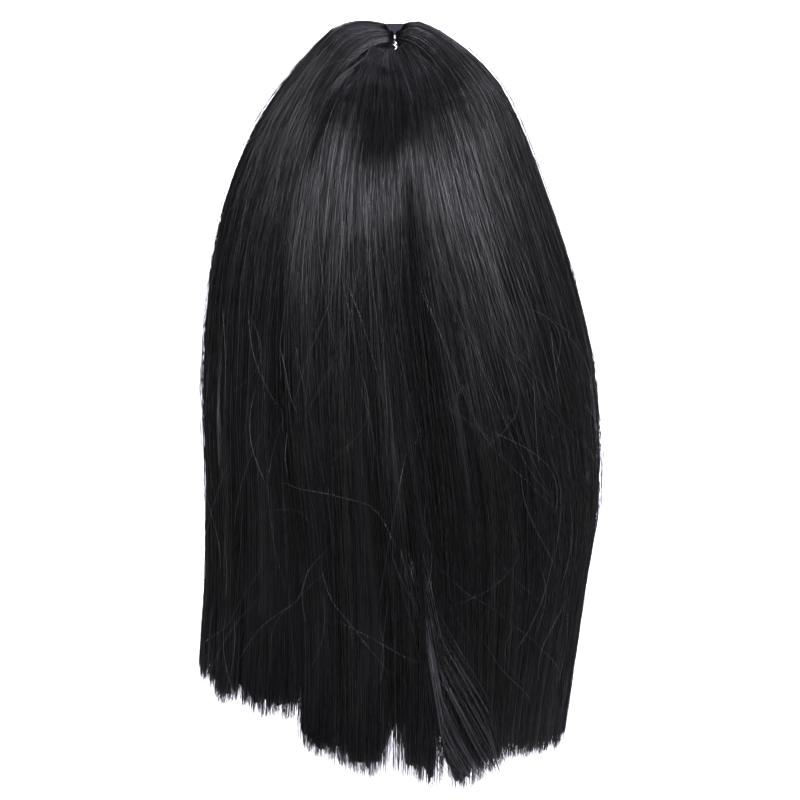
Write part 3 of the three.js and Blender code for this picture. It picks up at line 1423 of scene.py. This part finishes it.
            front = front & (rng.uniform(0, 1, (count, 1)) < self.front_share)
            depth = np.where(front, rng.uniform(0, self.front_depth, (count, 1)), depth)
            crown = np.where(front, np.sign(crown) * self.front_deg, crown)
            hem = np.where(front, np.sign(hem) * self.front_hem_deg, hem)
        lift = self.lifts(rng, deal, level, stray)
        groove = self.groove * (2 * place - 1) ** 2
        lines = FORM.points(level, crown, hem, tip[:, None], depth, groove, drift, lift)
        if layer is Layer.TOP:
            lines = FORM.rooted(lines, rows, crown[:, 0], self.roots)
            sunk = self.rounding(deal) - depth * self.crown_sink
            lines[..., 2] += sunk * (1 - smoothstep(level, *self.crown_rows))
            lines[..., 2] -= self.root_sink * (1 - smoothstep(level, 0, self.root_row))
        width = 1 - (1 - self.tip_width) * smoothstep(fallen, self.tip_from, 1.0)
        grown = smoothstep(level, rows[0], rows[0] + 1)
        width = width * (self.root_width + (1 - self.root_width) * grown)
        radius = plan.radius * rng.uniform(*self.widths, (count, 1)) * width
        return StrandMesh(lines * MM, radius * MM, rng.uniform(0, 1, count))

    @classmethod
    def waves(
        cls,
        rng: np.random.Generator,
        level: Array,
        count: int,
        size: float,
        pick: Array | None = None,
    ) -> Array:
        """Draws a slow wander for each strand or tuft.

        Args:
            rng: Source of random draws.
            level: Levels along the strands.
            count: How many wanders to draw.
            size: Size of the wander in millimetres.
            pick: Which of them each strand takes, if they are shared.

        Returns:
            Shifts in millimetres, one row for each strand.
        """
        turns = rng.uniform(*cls.WANDER_TURNS, (count, 2)) * 2 * np.pi
        start = rng.uniform(0, 2 * np.pi, (count, 2))
        swing = rng.normal(0, size, (count, 2))
        if pick is not None:
            turns, start, swing = turns[pick], start[pick], swing[pick]
        phase = turns[:, None] * level[..., None] + start[:, None]
        return (swing[:, None] * np.sin(phase)).sum(-1)

    def body(self, material: bpy.types.Material) -> bpy.types.Object:
        """Builds the dark body that the strands cover, as one closed wall with a ragged hem.

        Args:
            material: Finish of the hair.

        Returns:
            The object.
        """
        rng = np.random.default_rng((self.seed, self.BODY_SEED))
        cuts = len(self.locks) - 1
        spots = np.linspace(0, cuts, cuts * self.body_columns + 1)
        lock = np.minimum(spots.astype(int), cuts - 1)
        across = spots - lock
        crown, hem = (a[:, None] for a in self.spread(lock, across))
        tip = self.ends(lock, across, self.body_notch)[:, None]
        tip = tip + rng.uniform(*self.body_short, (len(spots), 1))
        groove = (self.groove * (2 * across - 1) ** 2)[:, None]
        rows = np.linspace(0, LAST_ROW, self.body_rows)
        rows_in = np.linspace(self.body_inner_row, LAST_ROW, self.body_rows)
        closed, closed_in = (
            share * smoothstep(r, self.body_close_from, LAST_ROW)[None]
            for share, r in zip(self.body_close, (rows, rows_in))
        )
        outer = FORM.points(rows[None], crown, hem, tip, self.body_depth + closed, groove)
        outer = FORM.rooted(outer, rows, crown[:, 0], self.roots)
        outer[..., 2] -= self.body_sink * (1 - smoothstep(rows, *self.crown_rows))[None]
        deep = self.body_inner_depth - closed_in
        inner = FORM.points(rows_in[None], crown, hem, tip, deep, groove)
        piece = wall(f"{self.node}_body", outer * MM, inner * MM, False, material)
        columns = np.repeat(spots * self.lock_width, self.body_rows)
        add_values(piece.data, "across", np.tile(columns, 2))
        along = [np.tile(r / LAST_ROW, len(spots)) for r in (rows, rows_in)]
        add_values(piece.data, "along", np.concatenate(along))
        return piece

    def build(
        self, blend: list[bpy.types.Material], combed: bpy.types.Material
    ) -> list[bpy.types.Object]:
        """Builds and dresses the fall.

        Args:
            blend: Finishes of the strands.
            combed: Finish of the body.

        Returns:
            The fall's pieces.
        """
        pieces = [self.body(combed)]
        for layer, count in zip(Layer, self.counts):
            strands = self.strands(layer, count)
            pieces.append(strands.piece(f"{self.node}_{layer.value.name}", blend))
        for piece in pieces:
            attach(piece, BODY)
            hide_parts(self.node)
        return pieces


@dataclass(frozen=True)
class StrayHair:
    """One hair that lies across the others: its crown angles and section rows in turn."""

    name: str
    path: tuple[tuple[float, float], ...]
    lift: float = 1.6


STRAY_HAIRS: tuple[StrayHair, ...] = (
    StrayHair("long_arc", ((-42, 9.5), (-32.5, 9.48), (-21, 9.53), (-12, 9.62), (-8, 9.9)), 3.0),
    StrayHair("short_arc", ((-49, 9.87), (-43.5, 9.75), (-33.5, 9.7), (-29, 9.85)), 2.5),
    StrayHair("low_left", ((-80, 11.35), (-61.5, 10.97), (-54, 10.62), (-48, 10.3))),
    StrayHair("low_left_second", ((-55, 11.2), (-48, 10.8), (-37.5, 10.45), (-33, 10.2))),
    StrayHair("middle_low", ((-28, 10.2), (-26, 10.4), (-20, 10.65), (-11.5, 11.03))),
    StrayHair("middle", ((-4, 9.1), (-6, 9.35), (-9.5, 9.88), (-13, 10.43))),
    StrayHair("right_first", ((8, 7.3), (13.5, 8.2), (18, 9.2), (24, 9.6))),
    StrayHair("right_second", ((10, 7.2), (13, 7.73), (16.5, 8.73), (24, 9.6))),
    StrayHair("right_third", ((5, 7.6), (7, 8.1), (11, 8.98), (21, 9.57), (27, 9.75))),
    StrayHair("right_fourth", ((19, 7.6), (22, 8.12), (28, 8.75), (45, 9.25))),
    StrayHair("left_first", ((-13, 7.5), (-16.5, 8.1), (-22.5, 8.48), (-29.5, 8.85))),
    StrayHair("left_second", ((-18, 7.4), (-21, 7.83), (-27, 8.3), (-32, 8.73))),
    StrayHair("right_rim", ((71.5, 8.43), (67.5, 8.85), (58.5, 9.2))),
    StrayHair("right_low", ((-3, 9.6), (0, 9.93), (7.5, 10.47), (24, 11), (43, 11.35))),
    StrayHair("right_bow", ((26, 9.2), (28.5, 9.5), (28, 9.8), (25, 10.2))),
    StrayHair("bright_first", ((-9, 10.0), (-5.5, 10.4), (1, 10.95), (10, 11.75))),
    StrayHair("bright_second", ((-4, 10.1), (-1, 10.53), (4, 11.03), (11, 11.68))),
    StrayHair("bright_third", ((-2, 10.2), (1, 10.6), (5, 11.05), (12, 11.7))),
    StrayHair("bright_fourth", ((-6, 10.3), (-2, 10.7), (3, 11.15), (9, 11.8))),
    StrayHair("crown_cross", ((-56, 4.4), (-42, 4.0), (-30, 3.85), (-19, 3.9)), 1.2),
)


@dataclass
class Flyaways:
    """Single hairs that stand away from the falls or lie across them.

    Angles are crown angles in degrees, rows are rows of the section table, and lengths are in
    millimetres.
    """

    seed: int = 41
    points: int = 14
    # A single hair is drawn about three times its real thickness so that it shows.
    radius: float = 0.13
    single_radius: float = 0.1
    # Hairs start thin, over a share of their length, and end thin.
    root_width: float = 0.25
    root_share: float = 0.15
    tip_width: float = 0.5
    tones: tuple[float, float] = (0.2, 0.99)
    # Loose hairs that follow the falls.
    loose_count: int = 320
    loose_deg: float = 140
    loose_first: tuple[float, float] = (2.5, 9.5)
    loose_rows: tuple[float, float] = (1.5, 5)
    loose_last: float = 11.9
    loose_sweep_deg: float = 5
    loose_bend_deg: float = 3
    loose_lift: float = 1.5
    loose_least_lift: float = 0.3
    loose_tip: float = -520
    # Short bent hairs that lie across the lower half of the back.
    bent_count: int = 46
    bent_deg: tuple[float, float] = (-75, 62)
    bent_first: tuple[float, float] = (7.6, 10.9)
    bent_rows: tuple[float, float] = (0.5, 1.0)
    bent_sweep_deg: float = 9
    bent_bend_deg: float = 4
    bent_lift: float = 2.2
    bent_tip: float = -524
    # The thin lock that crosses the back to the right, and flicks out at its ends.
    crossing_count: int = 130
    lock_radius: float = 0.2
    crossing_deg: float = -8
    crossing_turn_deg: float = 18
    crossing_turn_rows: tuple[float, float] = (9.2, 12.0)
    crossing_turn_power: float = 1.3
    crossing_half_deg: float = 2.4
    crossing_fan_deg: float = 1.6
    crossing_first: tuple[float, float] = (9.9, 11.2)
    crossing_last: float = 11.97
    crossing_uneven: float = 0.05
    crossing_lift: tuple[float, float] = (-0.4, 0.8)
    crossing_flick: float = 2.5
    crossing_flick_rows: tuple[float, float] = (10.6, 12.2)
    crossing_tip: float = -536
    crossing_trim: float = 3

    def lay(
        self, level: Array, angle: Array, tip: Array | float, lift: Array | float
    ) -> Array:
        """Lays hairs on the falls.

        Args:
            level: Row of the section table, with fractions.
            angle: Crown angles in degrees.
            tip: Height of the hair's end there, in millimetres.
            lift: Outward shift in millimetres.

        Returns:
            Points in millimetres, as hairs by points by x, y, z.
        """
        locks = LEFT_LOCKS + BACK_LOCKS[1:] + RIGHT_LOCKS[1:]
        hem = np.interp(angle, [k.crown for k in locks], [k.hem for k in locks])
        return FORM.points(level, angle, hem, tip, 0.0, 0.0, 0.0, lift)

    def share(self) -> Array:
        """Share of a hair's length at each of its points, in one row."""
        return np.linspace(0, 1, self.points)[None]

    def loose(self) -> Array:
        """Draws the loose hairs that follow the falls.

        Returns:
            Points in millimetres, as hairs by points by x, y, z.
        """
        rng = np.random.default_rng(self.seed)
        one_each = (self.loose_count, 1)
        share = self.share()
        arch = np.sin(np.pi * share)
        crown = rng.uniform(-self.loose_deg, self.loose_deg, one_each)
        first = rng.uniform(*self.loose_first, one_each)
        last = np.minimum(first + rng.uniform(*self.loose_rows, one_each), self.loose_last)
        sweep = rng.normal(0, self.loose_sweep_deg, one_each) * share
        bend = rng.normal(0, self.loose_bend_deg, one_each) * arch
        lift = rng.exponential(self.loose_lift, one_each) * arch**0.7 + self.loose_least_lift
        level = first + (last - first) * share
        return self.lay(level, crown + sweep + bend, self.loose_tip, lift)

    def named(self) -> Array:
        """Lays the hairs of the table.

        Returns:
            Points in millimetres, as hairs by points by x, y, z.
        """
        lines = []
        for hair in STRAY_HAIRS:
            curve = spline(np.array(hair.path), self.share() * (len(hair.path) - 1))
            lines.append(self.lay(curve[..., 1], curve[..., 0], FORM.hem, hair.lift))
        return np.concatenate(lines)

    def bent(self) -> Array:
        """Draws the short bent hairs.

        Returns:
            Points in millimetres, as hairs by points by x, y, z.
        """
        rng = np.random.default_rng(self.seed + 3)
        one_each = (self.bent_count, 1)
        share = self.share()
        first = rng.uniform(*self.bent_first, one_each)
        level = first + rng.uniform(*self.bent_rows, one_each) * share
        sweep = rng.normal(0, self.bent_sweep_deg, one_each) * share
        bend = rng.normal(0, self.bent_bend_deg, one_each) * np.sin(np.pi * share)
        angle = rng.uniform(*self.bent_deg, one_each) + sweep + bend
        return self.lay(level, angle, self.bent_tip, self.bent_lift)

    def crossing(self) -> Array:
        """Draws the thin lock that crosses the back to the right near the hem.

        Returns:
            Points in millimetres, as hairs by points by x, y, z.
        """
        rng = np.random.default_rng(self.seed + 1)
        one_each = (self.crossing_count, 1)
        share = self.share()
        side = rng.normal(0, 1, one_each)
        first = rng.uniform(*self.crossing_first, one_each)
        last = self.crossing_last - rng.exponential(self.crossing_uneven, one_each)
        level = first + (last - first) * share
        start, end = self.crossing_turn_rows
        turned = np.clip((level - start) / (end - start), 0, 1) ** self.crossing_turn_power
        angle = self.crossing_deg + self.crossing_turn_deg * turned
        angle = angle + (self.crossing_half_deg + self.crossing_fan_deg * share) * side
        rise = np.sin(np.pi * np.minimum(share * 2, 1) / 2)
        lift = rng.uniform(*self.crossing_lift, one_each) * rise
        lift = lift + self.crossing_flick * smoothstep(level, *self.crossing_flick_rows)
        tip = self.crossing_tip + rng.normal(0, self.crossing_trim, one_each)
        return self.lay(level, angle, tip, lift)

    def piece(
        self, name: str, lines: Array, radius: float, finishes: list[bpy.types.Material]
    ) -> bpy.types.Object:
        """Builds hairs as one piece.

        Args:
            name: Name of the piece.
            lines: Points in millimetres, as hairs by points by x, y, z.
            radius: Radius of a hair in millimetres.
            finishes: Finishes that the hairs take in turn of their tones.

        Returns:
            The piece.
        """
        share = self.share()
        grown = smoothstep(share, 0, self.root_share)
        width = self.root_width + (1 - self.root_width) * grown
        width = width * (1 - (1 - self.tip_width) * share**4)
        thick = np.repeat(radius * MM * width, len(lines), 0)
        tone = np.random.default_rng(self.seed + 2).uniform(*self.tones, len(lines))
        piece = StrandMesh(lines * MM, thick, tone).piece(name, finishes)
        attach(piece, BODY)
        return piece

    def build(
        self,
        loose: bpy.types.Material,
        single: bpy.types.Material,
        blend: list[bpy.types.Material],
    ) -> list[bpy.types.Object]:
        """Builds the loose hairs and the crossing lock.

        Args:
            loose: Finish of a hair that follows the falls.
            single: Finish of a hair that stands clear of them.
            blend: Finishes of the strands in the crossing lock.

        Returns:
            The pieces.
        """
        strays = np.concatenate([self.named(), self.bent()])
        return [
            self.piece("flyaway_hairs", self.loose(), self.radius, [loose]),
            self.piece("stray_hairs", strays, self.single_radius, [single]),
            self.piece("crossing_lock", self.crossing(), self.lock_radius, blend),
        ]


@dataclass
class Cap:
    """The net cap below the hair, with its bound edge and sewn rows of weft."""

    head: Head = Head()
    columns: int = 96
    rings: int = 26
    nape_taper: float = 0.1
    binding_radius: float = 1.5
    weft_radius: float = 0.7
    weft_reaches: tuple[float, ...] = (40, 56, 72, 86, 98)
    # How far the net's two faces, the binding and the wefts lie out from the head.
    net_out: float = 1.8
    net_in: float = 0.3
    binding_out: float = 1.0
    weft_out: float = 0.2
    # The binding lies this far above the edge, the net starts this far from the very top, and
    # wefts run this far round from the nape and keep this far above the edge, in degrees.
    binding_back_deg: float = 0.6
    top_deg: float = 1
    weft_turn_deg: float = 105
    weft_clear_deg: float = 3
    weft_points: int = 60
    # Angle below the head's widest level at which the whole nape taper is reached.
    taper_deg: float = 30
    # The net's panels, laid flat side by side, in metres: ear to ear and forehead to nape.
    flat: tuple[float, float] = (0.28, 0.33)

    # Angle from the nape, and how far down the cap reaches there, both in degrees.
    EDGE = ((0, 120), (45, 114), (75, 104), (95, 101), (115, 103), (140, 74), (180, 60))

    def edge(self, angle: Array) -> Array:
        """How far down the cap reaches.

        Args:
            angle: Angles from the nape in degrees.

        Returns:
            Reaches in degrees from the top.
        """
        table = np.array(self.EDGE, float)
        away = np.abs(angle)
        i = np.clip(np.searchsorted(table[:, 0], away, "right") - 1, 0, len(table) - 2)
        share = smoothstep((away - table[i, 0]) / (table[i + 1, 0] - table[i, 0]), 0, 1)
        return table[i, 1] + (table[i + 1, 1] - table[i, 1]) * share

    def points(self, angle: Array, reach: Array, grow: float) -> Array:
        """Points of the cap.

        Args:
            angle: Angles from the nape in degrees.
            reach: Reaches from the top in degrees.
            grow: Distance out from the head in millimetres.

        Returns:
            Points in metres.
        """
        down = np.radians(np.maximum(0, reach - 90))
        dome = np.radians(np.minimum(reach, 90))
        taper = 1 - self.nape_taper * (np.degrees(down) / self.taper_deg) ** 2
        turn = np.radians(angle)
        x = (self.head.half_width + grow) * np.sin(dome) * taper * np.sin(turn)
        y = -(self.head.half_depth + grow) * np.sin(dome) * taper * np.cos(turn)
        z = -self.head.rise + (self.head.rise + grow) * (np.cos(dome) - down)
        return np.stack(np.broadcast_arrays(x, y, z), -1) * MM

    def build(self, net: bpy.types.Material, tape: bpy.types.Material) -> list[bpy.types.Object]:
        """Builds and dresses the cap.

        Args:
            net: Finish of the net.
            tape: Finish of the binding and the wefts.

        Returns:
            The cap's pieces.
        """
        angle = np.linspace(-180, 180, self.columns, endpoint=False)[:, None]
        share = np.linspace(0, 1, self.rings)[None]
        reach = self.top_deg + (self.edge(angle) - self.top_deg) * share
        outside = self.points(angle, reach, self.net_out)
        dome = wall("cap_net", outside, self.points(angle, reach, self.net_in), True, net)
        edge = self.edge(angle[:, 0]) - self.binding_back_deg
        rim = self.points(angle[:, 0], edge, self.binding_out)
        binding = tubes("cap_edge_binding", [rim], self.binding_radius * MM, tape, closed=True)
        rows = []
        for weft in self.weft_reaches:
            turn = np.linspace(-self.weft_turn_deg, self.weft_turn_deg, self.weft_points)
            turn = turn[self.edge(turn) > weft + self.weft_clear_deg]
            rows.append(self.points(turn, np.full(turn.shape, weft), self.weft_out))
        wefts = tubes("cap_weft_seams", rows, self.weft_radius * MM, tape)
        pieces = [dome, binding, wefts]
        for piece in pieces:
            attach(piece, BODY)
            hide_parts("cap")
        cut = grid_area(np.concatenate([outside, outside[:1]]))
        return pieces


@dataclass
class Parting:
    """The cloth strip that shows in the parting, and the stitches where it ends at the whorl."""

    # Distance forward of the crown and half the strip's width there, in millimetres.
    WIDTHS = ((-48, 0.4), (-38, 1.6), (-28, 3.3), (-17, 5.4), (-8, 6.0), (40, 4.2), (89, 3.4))
    # Ends of the straight stitch and turns of the zigzag: right of the middle, and forward.
    STRAIGHT = ((0.0, -52.5), (0.3, -57))
    ZIGZAG = ((0.2, -60.5), (1.5, -62), (-0.6, -63.6), (1.7, -65.3), (0.4, -67.5))

    rows: int = 60
    across: int = 9
    thickness: float = 0.8
    strip_lift: float = 0.1
    thread_radius: float = 0.24
    thread_lift: float = 1.2
    straight_points: int = 6
    zigzag_points: int = 25

    def surface(self, x: Array, y: Array, lift: float) -> Array:
        """Points on the crown.

        Args:
            x: Distance right of the middle in millimetres.
            y: Distance forward of the crown in millimetres.
            lift: Distance above the crown's surface in millimetres.

        Returns:
            Points in metres.
        """
        x, y = np.broadcast_arrays(np.asarray(x, float), np.asarray(y, float))
        return np.stack([x, y, FORM.height_at(x, y) + lift], -1) * MM

    def strip(self, cloth: bpy.types.Material) -> bpy.types.Object:
        """Builds the strip.

        Args:
            cloth: Finish of the strip.

        Returns:
            The strip.
        """
        table = np.array(self.WIDTHS, float)
        y = np.linspace(table[0, 0], table[-1, 0], self.rows)[None]
        half = np.interp(y, table[:, 0], table[:, 1])
        side = np.linspace(-1, 1, self.across)[:, None]
        top = self.surface(side * half, y, self.strip_lift)
        low = top - np.array([0, 0, self.thickness * MM])
        piece = wall("parting_cloth", top, low, False, cloth)
        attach(piece, BODY)
        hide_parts("parting_strip")
        grid_area(top)
        return piece

    def stitches(self, thread: bpy.types.Material) -> bpy.types.Object:
        """Sews the stitches at the whorl: one straight one and a zigzag below it.

        Args:
            thread: Finish of the thread.

        Returns:
            The stitches.
        """
        paths = []
        for turns, points in (
            (self.STRAIGHT, self.straight_points),
            (self.ZIGZAG, self.zigzag_points),
        ):
            place = np.linspace(0, len(turns) - 1, points)
            x, y = (np.interp(place, range(len(turns)), way) for way in zip(*turns))
            paths.append(self.surface(x, y, self.thread_lift))
        piece = tubes("whorl_stitches", paths, self.thread_radius * MM, thread)
        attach(piece, BODY)
        return piece

    def build(
        self, cloth: bpy.types.Material, thread: bpy.types.Material
    ) -> list[bpy.types.Object]:
        """Builds and dresses the parting.

        Args:
            cloth: Finish of the strip.
            thread: Finish of the stitches.

        Returns:
            The parting's pieces.
        """
        return [self.strip(cloth), self.stitches(thread)]


@dataclass(frozen=True)
class Softbox:
    """A soft box that hangs on a sphere around the wig.

    azimuth_deg runs from the camera's side to the right, elevation_deg up from level, size is
    the box's width and height in metres, and power is in watts.
    """

    name: str
    azimuth_deg: float
    elevation_deg: float
    size: tuple[float, float]
    power: float
    distance_m: float = 2.5
    spread_deg: float = 50
    # Flash tubes in white cloth boxes lean a little towards blue.
    colour: str = "#f4f2ff"

    def place(self, aim: Vector) -> Vector:
        """Where the box hangs.

        Args:
            aim: What it points at.

        Returns:
            Its place in metres.
        """
        turn, rise = math.radians(self.azimuth_deg), math.radians(self.elevation_deg)
        level = math.cos(rise)
        way = Vector((math.sin(turn) * level, -math.cos(turn) * level, math.sin(rise)))
        return aim + way * self.distance_m


SOFTBOXES: tuple[Softbox, ...] = (
    Softbox("middle_softbox", -8, 26, (1.5, 0.9), 18),
    Softbox("right_softbox", 24, 23, (1.1, 1.0), 14),
    Softbox("low_right_softbox", 35, 5, (0.7, 1.4), 7),
    Softbox("top_softbox", 6, 76, (1.0, 0.6), 2.6, colour="#dddfff"),
    Softbox("back_right_softbox", 142, 53, (1.0, 0.6), 3.2, colour="#dddfff"),
    Softbox("back_left_softbox", -150, 55, (0.8, 0.6), 3.2, colour="#dddfff"),
)
# A wide frame that hangs level over the floor beyond the wig and keeps it white.
GROUND_SOFTBOX = Softbox("ground_softbox", 0, 90, (24, 29), 6000, 1.0, 110)


@dataclass(frozen=True)
class Studio:
    """Pale floor, soft lights and the camera."""

    # The camera stands behind the wig and a little above it, on a long lens.
    aim_mm: tuple[float, float, float] = (3.9, 0.0, -279.0)
    distance_mm: float = 1800.0
    elevation_deg: float = 15.0
    lens_mm: float = 104.9
    sensor_mm: float = 36.0
    far_m: float = 100.0
    # The wig hangs well above the floor.
    floor_mm: float = -1150.0
    floor_size_m: float = 60.0
    lit_m: tuple[float, float, float] = (0, 0, -0.2)
    ground_lit_m: tuple[float, float, float] = (0, 15.5, 0.4)
    world: float = 0.38
    world_colour: str = "#ffffff"

    def floor(self) -> bpy.types.Object:
        """Lays the floor.

        Returns:
            The floor's object.
        """
        half = self.floor_size_m / 2
        corners = np.array([(-1, -1, 0), (1, -1, 0), (1, 1, 0), (-1, 1, 0)]) * half
        corners[:, 2] = self.floor_mm * MM
        paper = StudioPaper().material()
        piece = mesh_object("studio_floor", corners, np.arange(4)[None], paper)
        return piece

    def light(self, box: Softbox, aim: Vector) -> None:
        """Hangs a soft box.

        Args:
            box: The box.
            aim: What it points at.
        """
        lamp = bpy.data.lights.new(box.name, "AREA")
        lamp.shape = "RECTANGLE"
        lamp.size, lamp.size_y = box.size
        lamp.energy = box.power
        lamp.color = linear(box.colour)[:3]
        lamp.spread = math.radians(box.spread_deg)
        holder = bpy.data.objects.new(box.name, lamp)
        holder.location = box.place(aim)
        holder.rotation_euler = (aim - holder.location).to_track_quat("-Z", "Y").to_euler()
        bpy.context.scene.collection.objects.link(holder)

    def camera(self) -> None:
        """Sets up the camera at the photograph's angle."""
        aim = Vector(self.aim_mm) * MM
        tilt = math.radians(self.elevation_deg)
        way = Vector((0, -math.cos(tilt), math.sin(tilt)))
        lens = bpy.data.cameras.new("camera")
        lens.lens = self.lens_mm
        lens.sensor_width = self.sensor_mm
        lens.clip_end = self.far_m
        holder = bpy.data.objects.new("camera", lens)
        holder.location = aim + way * self.distance_mm * MM
        holder.rotation_euler = (-way).to_track_quat("-Z", "Y").to_euler()
        bpy.context.scene.collection.objects.link(holder)
        bpy.context.scene.camera = holder

    def build(self) -> None:
        """Builds the studio."""
        self.floor()
        for box in SOFTBOXES:
            self.light(box, Vector(self.lit_m))
        self.light(GROUND_SOFTBOX, Vector(self.ground_lit_m))
        world = bpy.data.worlds.new("studio_world")
        world.use_nodes = True
        sky = world.node_tree.nodes["Background"]
        sky.inputs["Color"].default_value = linear(self.world_colour)
        sky.inputs["Strength"].default_value = self.world
        scene = bpy.context.scene
        scene.world = world
        scene.view_settings.view_transform = "Standard"
        self.camera()


def report(pieces: list[bpy.types.Object]) -> None:
    """Logs each piece and its size.

    Args:
        pieces: Pieces that were built.
    """
    for piece in pieces:
        LOG.info("%s: %d faces", piece.name, len(piece.data.polygons))


def main() -> None:
    """Builds the studio and each sub-assembly of the wig."""
    logging.basicConfig(level=logging.INFO)
    Studio().build()
    grades = {lustre: lustre.material() for lustre in Lustre}
    blend = [grades[lustre] for lustre in BLEND]
    combed = CombedFibre().material()
    report(Fall("hair_back", BACK_LOCKS, BACK_ROOTS, 11).build(blend, combed))
    report(Fall("hair_left", LEFT_LOCKS, LEFT_ROOTS, 12).build(blend, combed))
    report(Fall("hair_right", RIGHT_LOCKS, RIGHT_ROOTS, 13).build(blend, combed))
    loose, single = LOOSE_FIBRE.material(), SINGLE_FIBRE.material()
    crossing = [single, loose, grades[Lustre.BRIGHT], grades[Lustre.SEMI_DULL], loose]
    report(Flyaways().build(loose, single, crossing))
    report(Cap().build(StretchNet().material(), BINDING_TAPE.material()))
    report(Parting().build(PartingCloth().material(), SpunThread().material()))


if __name__ == "__main__":
    main()
